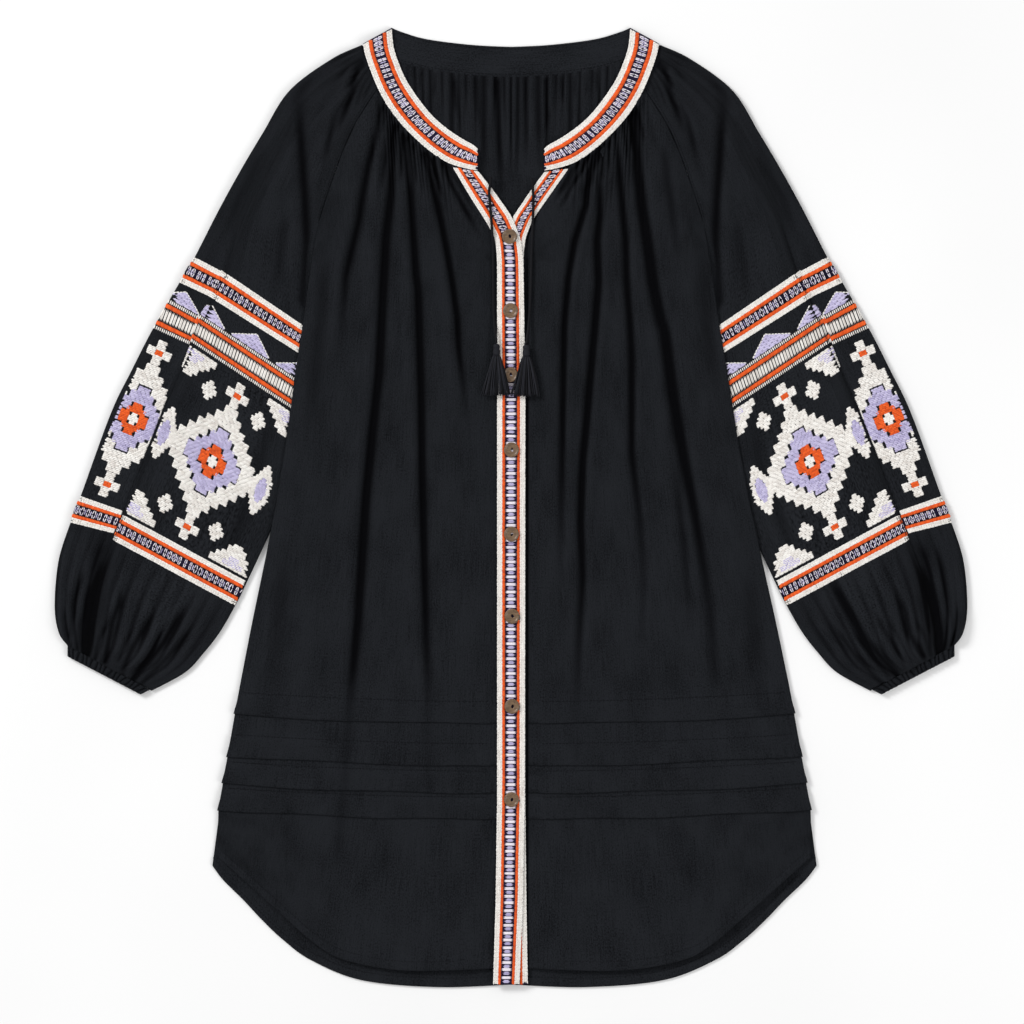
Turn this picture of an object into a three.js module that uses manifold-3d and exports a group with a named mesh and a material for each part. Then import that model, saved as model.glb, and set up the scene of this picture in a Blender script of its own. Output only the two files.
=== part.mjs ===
// Kaftan tunic laid flat on a table, front up. Millimetres, +Z up, the neck towards +Y.
// The origin lies on the table under the middle of the garment. Cloth is a wall of even thickness:
// the back panel and the under halves of the sleeves rest on the table, the front panels lie over
// them, and bands, placket, buttons, ties and tassels lie on top. Widths named half are measured
// from the centre line, and the sleeves, panels and bands are made once for each side.
import * as THREE from 'three';
import { mergeVertices } from 'three/addons/utils/BufferGeometryUtils.js';
import Module from 'manifold-3d';

const wasm = await Module();
wasm.setup();

const { lerp, smoothstep } = THREE.MathUtils;
const LEFT = -1;
const RIGHT = 1;

// ---------------------------------------------------------------- driving sizes
const CLOTH = 1.2; // wall of a panel
const BAND = 1.4; // wall of a doubled band or placket
const SEAM = 0.3; // gap kept wherever two pieces meet
const UNDERLAP = 4; // how far a panel's edge runs under the band that is sewn over it
const UPPER = 3.2; // underside of the upper layer of cloth above the table
const HEM_RISE = 0.6; // the turned-up hem stands this much proud
const TUCK_RISE = 1.5; // a tuck's fold edge stands this much proud
const TUCK_DEPTH = 21; // from a tuck's stitch line down to its fold edge
const TUCK_FLARE = 1.5; // the tucks' ends reach this far past the side seam
const TUCK_SWEEP = 9.5; // the tucks rise this much from the centre to the side seams

// Side seam of the body: height up the garment and half width there.
const BODY_SIDE = [
  { y: 280.5, half: 193 },
  { y: 244.5, half: 199 },
  { y: 188, half: 207 },
  { y: 136, half: 215.5 },
  { y: 56, half: 227 },
  { y: 0, half: 237 },
  { y: -48, half: 246.5 },
  { y: -112, half: 259.5 },
  { y: -194, half: 275.5 },
  { y: -274, half: 289.5 },
  { y: -334, half: 299.5 },
  { y: -358, half: 302.5 },
];

// The body leans a little to the right below the armholes.
const LEAN = [
  { y: 176, shift: 0 },
  { y: -48, shift: 2.5 },
  { y: -194, shift: 3.5 },
];

// Rows of the body panels below the armhole. The side seam rides over the sleeve by lift.
const BODY_LEVELS = [
  { y: 244.5, lift: 3 },
  { y: 176, lift: 3 },
  { y: 86, lift: 3 },
  { y: -30, lift: 3 },
  { y: -75, lift: 0 },
  { y: -134, lift: 0 },
];
const LIFT_FULL = 13; // the body keeps its full lift this far in from the side seam
const LIFT_END = 48; // and lies on the table again this far in

// Raglan seams from the neck to the underarm; front and back differ only near the neck.
const FRONT_RAGLAN = [
  { half: 131, y: 421 },
  { half: 155, y: 383.5 },
  { half: 168, y: 354.5 },
  { half: 182, y: 315.5 },
  { half: 193, y: 280.5 },
];
const BACK_RAGLAN = [
  { half: 134, y: 456 },
  { half: 150, y: 412 },
  { half: 165, y: 368 },
  { half: 180, y: 320 },
  { half: 193, y: 280.5 },
];

// Embroidered front neckband: outer and inner edge from the shoulder fold to the notched end.
const NECKBAND = [
  { outer: 148, outerY: 462, inner: 119, innerY: 478.5, outerZ: 4.9, innerZ: 1.7 },
  { outer: 145.5, outerY: 450, inner: 117.3, innerY: 460, outerZ: 5.6, innerZ: 3.3 },
  { outer: 141, outerY: 437, inner: 113, innerY: 446, outerZ: 5.7, innerZ: 3.5 },
  { outer: 134.5, outerY: 420.5, inner: 106.5, innerY: 430, outerZ: 5.7, innerZ: 3.5 },
  { outer: 126, outerY: 404, inner: 99.5, innerY: 418, outerZ: 5.7, innerZ: 3.6 },
  { outer: 115, outerY: 388, inner: 90, innerY: 404.5, outerZ: 5.7, innerZ: 3.6 },
  { outer: 101, outerY: 372.5, inner: 78, innerY: 390, outerZ: 5.7, innerZ: 3.6 },
  { outer: 84, outerY: 357, inner: 63, innerY: 377, outerZ: 5.7, innerZ: 3.7 },
  { outer: 66, outerY: 344.5, inner: 47, innerY: 366.5, outerZ: 5.6, innerZ: 4 },
  { outer: 48, outerY: 338, inner: 38, innerY: 361.5, outerZ: 5.4, innerZ: 4.2 },
  { outer: 33, outerY: 335.5, inner: 33, innerY: 356.5, outerZ: 5.2, innerZ: 4.4 },
];

// Back neckband from the shoulder fold to the centre: its free top edge and its lower seam.
const BACK_BAND = [
  { top: 119, topY: 478.5, low: 145.5, lowY: 463 },
  { top: 108, topY: 474, low: 128, lowY: 450.5 },
  { top: 83, topY: 467, low: 92, lowY: 438.5 },
  { top: 39, topY: 461.5, low: 42, lowY: 431 },
  { top: 0, topY: 459.5, low: 0, lowY: 429 },
];
const BACK_BAND_STEP = 12; // width over which the band comes down from the gathers to the table

// Edge of the front panels from the centre front up to the neckband, on each side.
const CENTRE_EDGE = {
  [LEFT]: [
    { half: 10, y: 246 },
    { half: 12, y: 269 },
    { half: 21.6, y: 286.6 },
    { half: 55.6, y: 341 },
  ],
  [RIGHT]: [
    { half: 17.4, y: 246 },
    { half: 17.4, y: 268.5 },
    { half: 23.6, y: 287.7 },
    { half: 58.6, y: 339 },
  ],
};
// Gathered edge of the front panels under the neckband.
const GATHERED_EDGE = [
  { half: 60, y: 346 },
  { half: 69.7, y: 351.8 },
  { half: 90.4, y: 367.5 },
  { half: 106, y: 383.2 },
  { half: 117.7, y: 398.8 },
  { half: 127.5, y: 414.3 },
];
// Centre front edge of each panel further down.
const CENTRE_FRONT = {
  [LEFT]: [
    { y: 246, half: 10 },
    { y: -290, half: 10 },
    { y: -470, half: 14 },
  ],
  [RIGHT]: [
    { y: 246, half: 17.4 },
    { y: -470, half: 17.4 },
  ],
};

// Hems from the side seam to the centre.
const BACK_HEM = [
  { half: 302, y: -359 },
  { half: 291, y: -373.5 },
  { half: 270.5, y: -393.5 },
  { half: 251.5, y: -413.5 },
  { half: 230, y: -433.5 },
  { half: 202, y: -453.5 },
  { half: 151, y: -473.5 },
  { half: 75, y: -480.5 },
  { half: 0, y: -478 },
];
const FRONT_HEM = [
  { half: 297, y: -350 },
  { half: 274, y: -370 },
  { half: 232, y: -408.5 },
  { half: 200, y: -436.5 },
  { half: 170, y: -453 },
  { half: 109, y: -463.5 },
  { half: 18, y: -461.5 },
];
const HEM_WIDTH = 9; // from the stitch line to the edge

// Four horizontal tucks: height of each fold edge at the centre front.
const TUCKS = [{ y: -217 }, { y: -259 }, { y: -286.5 }, { y: -312.5 }];

// Gathers under the neckband, and the broad soft folds that they run out into.
const FRONT_GATHERS = 13;
const GATHER_FROM = 0.2; // as a share of the panel's width, from the centre front
const GATHER_TO = 0.62;
const GATHER_DEPTH = [0.7, 0.5, 0.8, 0.6, 1, 0.7, 0.9, 0.5, 1, 0.6, 0.9, 0.7, 0.5];
const SOFT_FOLDS = [
  { at: 0.22, width: 0.035, rise: 1.6 },
  { at: 0.38, width: 0.04, rise: 2.2 },
  { at: 0.54, width: 0.05, rise: 1.8 },
  { at: 0.72, width: 0.05, rise: 1.2 },
  { at: 0.86, width: 0.04, rise: 0.9 },
];
const CENTRE_SLOPE = 0.12; // share of the width over which the folds rise from the centre front
const SEAM_SLOPE = 35; // width over which the front panels climb from the side seam
const ARMHOLE_WIDTH = { front: { top: 62, base: 182 }, back: { top: 150, base: 199 } };
// Rows above the armhole: share of the way down to it, depth of the gathers and of the soft folds.
const FRONT_UPPER_ROWS = [
  { share: 0, gather: 0.3, soft: 0 },
  { share: 0.12, gather: 2, soft: 0.2 },
  { share: 0.4, gather: 2.2, soft: 0.5 },
  { share: 0.72, gather: 1.4, soft: 0.8 },
];
const BACK_UPPER_ROWS = [
  { share: 0, gather: 0 },
  { share: 0.1, gather: 1.3 },
  { share: 0.45, gather: 1.4 },
];
const BACK_ARMHOLE_SHARE = 0.8; // the back's last row above the armhole
const BACK_LOW_ROW = -240; // height of the back's row between the body and the hem
const LEVEL_SOFTNESS = [1, 1, 1, 0.9, 0.8, 0.6]; // depth of the soft folds in each body row
const TUCK_SOFTNESS = 0.35;
const HEM_SOFTNESS = 0.3;
const FRONT_HEM_DROP = { line: 80, step: 85 }; // from the last tuck to the hem's edge, on average
const BACK_HEM_DROP = { line: 100, step: 106 };
const BACK_GATHERS = 30;
const BACK_GATHER_REACH = 0.5; // as a share of the panel's half width

// Stations of a sleeve from the neck to the cuff: outer fold and inner edge. fold is how far the
// long pleat is laid over, low is how far the inner edge has come down under the body's side seam,
// puff is the depth of the gathers.
const SLEEVE = [
  { outer: 150, outerY: 461.5, inner: 131, innerY: 421, fold: 0, low: 0, puff: 0 },
  { outer: 179, outerY: 448.5, inner: 155, innerY: 383.5, fold: 0, low: 0, puff: 0 },
  { outer: 222, outerY: 416.5, inner: 168, innerY: 354.5, fold: 0, low: 0, puff: 0 },
  { outer: 249, outerY: 373.5, inner: 182, innerY: 315.5, fold: 0, low: 0, puff: 0 },
  { outer: 271, outerY: 336.5, inner: 193, innerY: 280.5, fold: 0.15, low: 0, puff: 0 },
  { outer: 293, outerY: 296.5, inner: 199.6, innerY: 244.5, fold: 0.5, low: 1, puff: 0 },
  { outer: 317, outerY: 249.5, inner: 202, innerY: 176.5, fold: 0.72, low: 1, puff: 0 },
  { outer: 332, outerY: 224.5, inner: 205, innerY: 149.5, fold: 1, low: 1, puff: 0 },
  { outer: 359, outerY: 177.5, inner: 212, innerY: 92.5, fold: 1, low: 1, puff: 0 },
  { outer: 380, outerY: 136.5, inner: 219, innerY: 54.5, fold: 1, low: 1, puff: 0 },
  { outer: 401, outerY: 93, inner: 227, innerY: 16.5, fold: 1, low: 1, puff: 0.1 },
  { outer: 431, outerY: 10.5, inner: 268, innerY: -73.5, fold: 1, low: 1, puff: 0.25 },
  { outer: 441, outerY: -15.5, inner: 280, innerY: -97.5, fold: 0.75, low: 1, puff: 0.45 },
  { outer: 453, outerY: -53.5, inner: 295, innerY: -123.5, fold: 0.5, low: 1, puff: 0.8 },
  { outer: 457, outerY: -98.5, inner: 311, innerY: -144.5, fold: 0.35, low: 1, puff: 1 },
  { outer: 453, outerY: -125.5, inner: 330, innerY: -164.5, fold: 0.1, low: 1, puff: 0.8 },
  { outer: 444, outerY: -138.5, inner: 363, innerY: -182, fold: 0, low: 1, puff: 0.35 },
];
const FOLD_AT = 0.74; // the pleat's edge, as a share of the width from the inner edge
const FOLD_HIDDEN = 12; // cloth hidden under the pleat
const FOLD_STEP = CLOTH + SEAM; // height of each layer in the pleat
const FOLD_SLOPE = 42; // width over which the upper layer climbs to the pleat
const FOLD_CREST = 3; // the layer is at its full height this far before the hidden cloth
const PUFF_HEIGHT = 1.5;
const SEAM_FLAT = { most: 14, share: 0.2 }; // the cloth lies flat beside the inner edge
const SEAM_CLIMB = { most: 32, share: 0.35 }; // and has reached the upper layer here
const TURN_ROUNDING = 0.87; // how far the outer fold bulges, as a share of its radius
const EDGE_PLAY = 0.1; // the outer fold stays this far inside the outline
const SOFT_PLEAT_WIDTH = 90; // a narrower sleeve has a narrower soft pleat
// The pleat from its top layer round to the layer below: where each point lies from the pleat's
// edge and how high, first as a soft step and then laid right over.
const PLEAT = [
  { stepped: -5, ramp: 1, folded: -5, level: 1 },
  { stepped: -2.6, ramp: 0.97, folded: -1, level: 1 },
  { stepped: -1.2, ramp: 0.76, folded: 0, level: 0.75 },
  { stepped: -0.3, ramp: 0.5, folded: -1, level: 0.5 },
  { stepped: 0.6, ramp: 0.44, folded: -FOLD_HIDDEN, level: 0.5 },
  { stepped: 1.7, ramp: 0.22, folded: -FOLD_HIDDEN - 0.8, level: 0.25 },
  { stepped: 3, ramp: 0.03, folded: -FOLD_HIDDEN, level: 0 },
  { stepped: 6, ramp: 0, folded: 5, level: 0 },
];
const PLEAT_FROM = 4; // the first and last of a section's columns that the pleat takes up
const PLEAT_TO = 13;
const SLEEVE_GATHERS = 12;

// Shirred cuff: its two ends, top edge and bottom edge.
const CUFF = [
  { outer: 443.4, outerY: -139.2, inner: 363.4, innerY: -182.7 },
  { outer: 443.5, outerY: -149.5, inner: 369.5, innerY: -188 },
];
const CUFF_RIBS = 25;
const CUFF_RIB_RISE = 0.8;
const CUFF_INSET = 2.2; // the cuff's flat layers stop this far short of its outer end
const CUFF_START = 0.5; // and start this far from its inner end

// Plackets from the neckband down, each with its own strip of the V at the top.
const UPPER_PLACKET_Z = 5.2;
const UPPER_PLACKET = [
  { left: -58.6, leftY: 339.6, right: -32.8, rightY: 334.9 },
  { left: -41, leftY: 309.5, right: -16, rightY: 313.5 },
  { left: -25, leftY: 284.5, right: 1, rightY: 289.5 },
  { left: -16, leftY: 268.5, right: 10, rightY: 266.5 },
  { left: -14, leftY: 246.5, right: 12.5, rightY: 246.5 },
  { left: -14, leftY: 106.5, right: 14.5, rightY: 106.5 },
  { left: -14, leftY: -290, right: 14, rightY: -290 },
  { left: -15.5, leftY: -394, right: 12, rightY: -394 },
  { left: -18, leftY: -477.5, right: 8.5, rightY: -477.5 },
];
const UNDER_PLACKET_Z = 3.4;
const UNDER_PLACKET = [
  { left: 34, leftY: 334.9, right: 58, rightY: 338.2 },
  { left: 19, leftY: 314.5, right: 42, rightY: 315.5 },
  { left: 2, leftY: 289.5, right: 23, rightY: 287.5 },
  { left: -6, leftY: 268.5, right: 17, rightY: 268.5 },
  { left: -9, leftY: 246.5, right: 17, rightY: 246.5 },
  { left: -9, leftY: -290, right: 17, rightY: -290 },
  { left: -11, leftY: -477.2, right: 17, rightY: -477.2 },
];

const BUTTON_RADIUS = 7.5;
const BUTTON_HEIGHT = 2.6;
const BUTTON_RIM = 1.6;
const BUTTON_HOLE = 1.3;
const BUTTON_DISH = 0.62; // height of the dish as a share of the button's
const BUTTON_BEVEL = 0.8;
const BUTTONS = [
  { x: -1.5, y: 269.5 },
  { x: -0.5, y: 195.5 },
  { x: -0.5, y: 131.5 },
  { x: 0.5, y: 56.5 },
  { x: 0.5, y: -27.5 },
  { x: 1, y: -109.5 },
  { x: 1, y: -199.5 },
  { x: 0.5, y: -292.5 },
];

// Ties: routes chosen by hand, from under the inner edges of the V down to the tassels.
const TIE_RADIUS = 1.4;
const LEFT_TIE = [
  [-20.6, 328.5, 5.4], [-20.4, 326, 6.3], [-20.6, 323, 7.5], [-21.1, 319.5, 8.35], [-21.6, 316, 8.6],
  [-21.8, 312, 8.6], [-21.2, 306, 8.5], [-20.4, 296, 8.5], [-19.6, 286, 8.4], [-19, 277, 8.4],
  [-18.5, 268, 8.2], [-18.2, 259, 7.5], [-18, 250, 6.9], [-17.9, 238, 6.7], [-17.8, 224, 6.7],
  [-17.7, 210, 6.7], [-17.5, 196, 6.8], [-17, 185, 7.6], [-16, 175, 9.4], [-15, 168, 10.2],
];
const RIGHT_TIE = [
  [21.2, 327.2, 5.4], [21, 325, 6.4], [21.4, 321.5, 7], [22, 315, 7.1], [22.3, 306, 7],
  [22.2, 296, 6.9], [21.9, 286, 6.9], [21.5, 276, 6.9], [21, 266, 6.9], [20.6, 256, 6.9],
  [20.3, 244, 6.9], [20, 232, 6.9], [19.7, 219, 6.9], [19.2, 206, 6.9], [18.6, 194, 7],
  [17.8, 184, 7.7], [17, 174.5, 9], [16, 167, 9.9], [15.4, 162.2, 10.2],
];

// Tassels: head, then strands fanned out over the placket in two layers.
const HEAD_RADIUS = 3.2;
const TASSELS = {
  [LEFT]: { x: -14.7, y: 167.3, headLength: 17, skirtLength: 39, z: 10.6, lean: -2.5 },
  [RIGHT]: { x: 15.2, y: 161.5, headLength: 12, skirtLength: 40, z: 10.2, lean: 2 },
};
const STRANDS_PER_LAYER = 11;
const SKIRT_WIDTH = 25;
const STRAND_RADIUS = 0.75;
const STRAND_ROOT_RADIUS = 0.3;
const HEAD_COLLAR = 2.7; // radius where the head is wound round
const SKIRT_UNDERLAP = 1.5; // the strands start this far up inside the head
const LAYER_HEIGHT = 0.75; // the two layers of strands lie this far over and under the middle
const LAYER_STAGGER = 0.09; // the lower layer is shifted by this share of half the fan
const SHORTER_STRAND = 1.2; // the strands differ by up to this much in length
const SKIRT_BULGE = [0.6, 0.3]; // the upper and the lower layer arch by this much
const SKIRT_RISE = [1.2, 0.8]; // their ends rise by this much over the placket
const SKIRT_DROP = [0.6, 1.2]; // and come down by this much outside it

// ---------------------------------------------------------------- tables and curves
/** Reads a column of a table at a value of its key, straight between rows. */
function readTable(table, key, column, value) {
  const down = table[0][key] > table[table.length - 1][key];
  const last = table.length - 2;
  let row = 0;
  while (row < last && (down ? value < table[row + 1][key] : value > table[row + 1][key])) row += 1;
  const share = (value - table[row][key]) / (table[row + 1][key] - table[row][key]);
  return lerp(table[row][column], table[row + 1][column], Math.min(1, Math.max(0, share)));
}

/** A smooth curve through the rows of a table. */
function curveThrough(table, across, up) {
  return new THREE.SplineCurve(table.map((row) => new THREE.Vector2(row[across], row[up])));
}

const bodyHalf = (y) => readTable(BODY_SIDE, 'y', 'half', y);
const bodyLean = (y) => readTable(LEAN, 'y', 'shift', y);

/** How far the body panels are lifted over the sleeve, at a height and a distance from the seam. */
function bodyLift(lift, distance) {
  return lift * (1 - smoothstep(distance, LIFT_FULL, LIFT_END));
}

// ---------------------------------------------------------------- closed walls of cloth
/**
 * Makes a wall from rows of columns. surface(column, row) gives the wall's two faces there. Rows may
 * have different columns, as long as each starts and ends at the same ones.
 */
function clothWall(rows, surface) {
  const faces = [];
  const outer = [];
  const inner = [];
  const starts = [];
  rows.forEach((columns, row) => {
    starts.push(outer.length);
    columns.forEach((column) => {
      const wall = surface(column, row);
      outer.push(wall.outer);
      inner.push(wall.inner);
    });
  });
  for (let row = 0; row + 1 < rows.length; row += 1) {
    zipRows(rows[row], starts[row], rows[row + 1], starts[row + 1], faces);
  }
  return closeWall(outer, inner, faces);
}

/** Fills the strip between two rows with triangles, column by column. */
function zipRows(upper, upperStart, lower, lowerStart, faces) {
  let i = 0;
  let j = 0;
  while (i + 1 < upper.length || j + 1 < lower.length) {
    const nextUpper = i + 1 < upper.length ? upper[i + 1] : Infinity;
    const nextLower = j + 1 < lower.length ? lower[j + 1] : Infinity;
    if (nextUpper < nextLower) {
      faces.push([upperStart + i, lowerStart + j, upperStart + i + 1]);
      i += 1;
    } else {
      faces.push([upperStart + i, lowerStart + j, lowerStart + j + 1]);
      j += 1;
    }
  }
}

/** Joins the two faces of a wall along their free edge into one closed body. */
function closeWall(outer, inner, faces) {
  const count = outer.length;
  const seen = new Set();
  faces.forEach(([a, b, c]) => [[a, b], [b, c], [c, a]].forEach(([p, q]) => seen.add(`${p}_${q}`)));
  const index = [];
  faces.forEach(([a, b, c]) => {
    index.push(a, b, c);
    index.push(c + count, b + count, a + count);
    [[a, b], [b, c], [c, a]].forEach(([p, q]) => {
      if (seen.has(`${q}_${p}`)) return;
      index.push(q, p, p + count);
      index.push(q, p + count, q + count);
    });
  });
  const positions = [...outer, ...inner].flat();
  if (signedVolume(positions, index) < 0) {
    for (let corner = 0; corner < index.length; corner += 3) {
      [index[corner], index[corner + 1]] = [index[corner + 1], index[corner]];
    }
  }
  return geometryFrom(positions, index);
}

/** Six times the volume that a closed surface holds, negative where it is inside out. */
function signedVolume(positions, index) {
  const corner = (i) => new THREE.Vector3().fromArray(positions, index[i] * 3);
  let volume = 0;
  for (let i = 0; i < index.length; i += 3) {
    volume += corner(i).dot(corner(i + 1).cross(corner(i + 2)));
  }
  return volume;
}

function geometryFrom(positions, index) {
  const geometry = new THREE.BufferGeometry();
  geometry.setAttribute('position', new THREE.Float32BufferAttribute(positions, 3));
  geometry.setIndex(index);
  geometry.computeVertexNormals();
  return geometry;
}

/** Evenly spaced values from one to another, both ends included. */
function spread(from, to, steps) {
  return Array.from({ length: steps + 1 }, (_, i) => lerp(from, to, i / steps));
}

// ---------------------------------------------------------------- finishes
const CLOTH_FINISH = { color: 0x1e2024, roughness: 0.95, metalness: 0 };
const THREAD_FINISH = { color: 0xe9e4da, roughness: 0.8, metalness: 0 };
const COCONUT_FINISH = { color: 0x78603f, roughness: 0.55, metalness: 0 };
const TIE_FINISH = { color: 0x141518, roughness: 0.85, metalness: 0 };

const tunic = new THREE.Group();

/** Adds a finished piece to the tunic under its own name. */
function addPiece(name, geometry, finish) {
  const mesh = new THREE.Mesh(geometry, new THREE.MeshStandardMaterial(finish));
  mesh.name = name;
  tunic.add(mesh);
  return mesh;
}

// ---------------------------------------------------------------- front panels
const RAGLAN_COLUMNS = spread(GATHER_TO, 1, FRONT_RAGLAN.length - 1);
const CENTRE_COLUMNS = [0, 0.05, 0.1, GATHER_FROM];
const GATHER_COLUMNS = spread(GATHER_FROM, GATHER_TO, FRONT_GATHERS * 2);
const FINE_COLUMNS = [...CENTRE_COLUMNS, ...GATHER_COLUMNS.slice(1), ...RAGLAN_COLUMNS.slice(1)];
const BROAD_COLUMNS = [0, 0.02, 0.03, 0.1, 0.22, 0.3, 0.38, 0.46, 0.54, GATHER_TO, 0.72, 0.79, 0.86, 0.95, 1];

const HEM_COLUMNS = [...BROAD_COLUMNS, 0.67, 0.755, 0.825, 0.89, 0.92, 0.975].sort((a, b) => a - b);

/** The point where a column of a front panel leaves the neckline or the raglan seam. */
function frontTop(column, side) {
  if (column <= GATHER_FROM) {
    const edge = CENTRE_EDGE[side];
    const share = (column / GATHER_FROM) * (edge.length - 1);
    return rowBetween(edge, share);
  }
  if (column < GATHER_TO) {
    const share = (column - GATHER_FROM) / (GATHER_TO - GATHER_FROM);
    const gathered = [...GATHERED_EDGE, FRONT_RAGLAN[0]];
    return curveThrough(gathered, 'half', 'y').getPointAt(share);
  }
  const share = ((column - GATHER_TO) / (1 - GATHER_TO)) * (FRONT_RAGLAN.length - 1);
  return rowBetween(FRONT_RAGLAN, share);
}

/** The point at a fractional row of a table of half widths and heights. */
function rowBetween(table, share) {
  const row = Math.min(Math.floor(share), table.length - 2);
  const part = share - row;
  return new THREE.Vector2(
    lerp(table[row].half, table[row + 1].half, part),
    lerp(table[row].y, table[row + 1].y, part),
  );
}

/** Height of the gathers and soft folds at a column, 0 in the troughs. */
function frontFolds(column, gather, soft) {
  const place = ((column - GATHER_FROM) / (GATHER_TO - GATHER_FROM)) * FRONT_GATHERS;
  const inside = place > 0 && place < FRONT_GATHERS;
  const depth = inside ? GATHER_DEPTH[Math.floor(place)] : 0;
  const wave = inside ? depth * Math.abs(Math.sin(Math.PI * place)) : 0;
  const folds = SOFT_FOLDS.map((fold) => {
    const away = (column - fold.at) / fold.width;
    return fold.rise * Math.exp(-away * away);
  });
  return gather * wave + soft * Math.max(...folds);
}

/** Rows of a front panel: where each lies, how deep its folds are, and what its cloth does there. */
function frontRows() {
  const plain = { gather: 0, lift: 0, step: 0, flare: 0 };
  const upper = FRONT_UPPER_ROWS.map((row) => ({
    ...plain, ...row, kind: 'upper', columns: FINE_COLUMNS,
  }));
  const levels = BODY_LEVELS.map((level, i) => ({
    ...plain, ...level, kind: 'level', columns: BROAD_COLUMNS, soft: LEVEL_SOFTNESS[i],
  }));
  const tucks = TUCKS.flatMap((tuck) => {
    const row = { ...plain, kind: 'level', sweep: 1, columns: BROAD_COLUMNS, soft: TUCK_SOFTNESS };
    return [
      { ...row, y: tuck.y + TUCK_DEPTH, step: 0, flare: 0 },
      { ...row, y: tuck.y + 1, step: TUCK_RISE, flare: TUCK_FLARE },
      { ...row, y: tuck.y, step: 0, flare: 0 },
    ];
  });
  const lower = [
    { share: 0.5, step: 0 },
    { share: 1 - HEM_WIDTH / FRONT_HEM_DROP.line, step: 0 },
    { share: 1 - HEM_WIDTH / FRONT_HEM_DROP.step, step: HEM_RISE },
    { share: 1, step: HEM_RISE },
  ].map((row) => ({ ...plain, ...row, kind: 'lower', columns: HEM_COLUMNS, soft: HEM_SOFTNESS }));
  return [...upper, ...levels, ...tucks, ...lower];
}

/** A point of a body panel at a level: from the centre front edge to the side seam. */
function levelPoint(row, column, side, centre) {
  const edge = bodyHalf(row.y) + (row.flare ?? 0);
  const x = side * lerp(centre, edge, column) + bodyLean(row.y) * column;
  const sweep = row.sweep ? TUCK_SWEEP * (x / edge) ** 2 : 0;
  return new THREE.Vector2(x, row.y + sweep);
}

function frontPanel(side) {
  const rows = frontRows();
  const hem = curveThrough([...FRONT_HEM].reverse(), 'half', 'y');
  const lastTuck = { y: TUCKS[TUCKS.length - 1].y, sweep: 1 };
  const centreAt = (y) => readTable(CENTRE_FRONT[side], 'y', 'half', y);

  function place(column, row) {
    if (row.kind === 'level') return levelPoint(row, column, side, centreAt(row.y));
    if (row.kind === 'upper') {
      const top = frontTop(column, side);
      const base = levelPoint(BODY_LEVELS[0], column, side, centreAt(BODY_LEVELS[0].y));
      return new THREE.Vector2(side * top.x, top.y).lerp(base, row.share);
    }
    const from = levelPoint(lastTuck, column, side, centreAt(lastTuck.y));
    const edge = hem.getPointAt(column);
    const lean = bodyLean(edge.y) * column;
    const narrow = (centreAt(edge.y) - FRONT_HEM[FRONT_HEM.length - 1].half) * (1 - column);
    return from.lerp(new THREE.Vector2(side * (edge.x + narrow) + lean, edge.y), row.share);
  }

  return clothWall(rows.map((row) => row.columns), (column, rowIndex) => {
    const row = rows[rowIndex];
    const at = place(column, row);
    const { top: narrowest, base: widest } = ARMHOLE_WIDTH.front;
    const below = bodyHalf(at.y) - centreAt(at.y);
    const width = row.kind === 'upper' ? lerp(narrowest, widest, row.share) : below;
    const inward = (1 - column) * width;
    const lift = row.kind === 'upper' ? row.share * BODY_LEVELS[0].lift : row.lift;
    const closed = row.kind === 'upper' ? lerp(UPPER, CLOTH + SEAM, row.share) : CLOTH + SEAM;
    const rise = smoothstep(inward, 0, SEAM_SLOPE);
    const nearCentre = smoothstep(column, 0, CENTRE_SLOPE);
    const folds = frontFolds(column, row.gather, row.soft) * rise * nearCentre;
    const ease = row.kind === 'lower' ? row.share * (UPPER - CLOTH - HEM_RISE - SEAM * 2) : 0;
    const under = bodyLift(lift, inward) + lerp(closed, UPPER + folds - ease, rise);
    return {
      outer: [at.x, at.y, under + CLOTH + row.step * lerp(0.25, 1, smoothstep(column, 0.02, 0.03))],
      inner: [at.x, at.y, under],
    };
  });
}

// ---------------------------------------------------------------- back panel
const BACK_EDGE_COLUMNS = [GATHER_TO, 0.715, 0.81, 0.905, 1];

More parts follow.
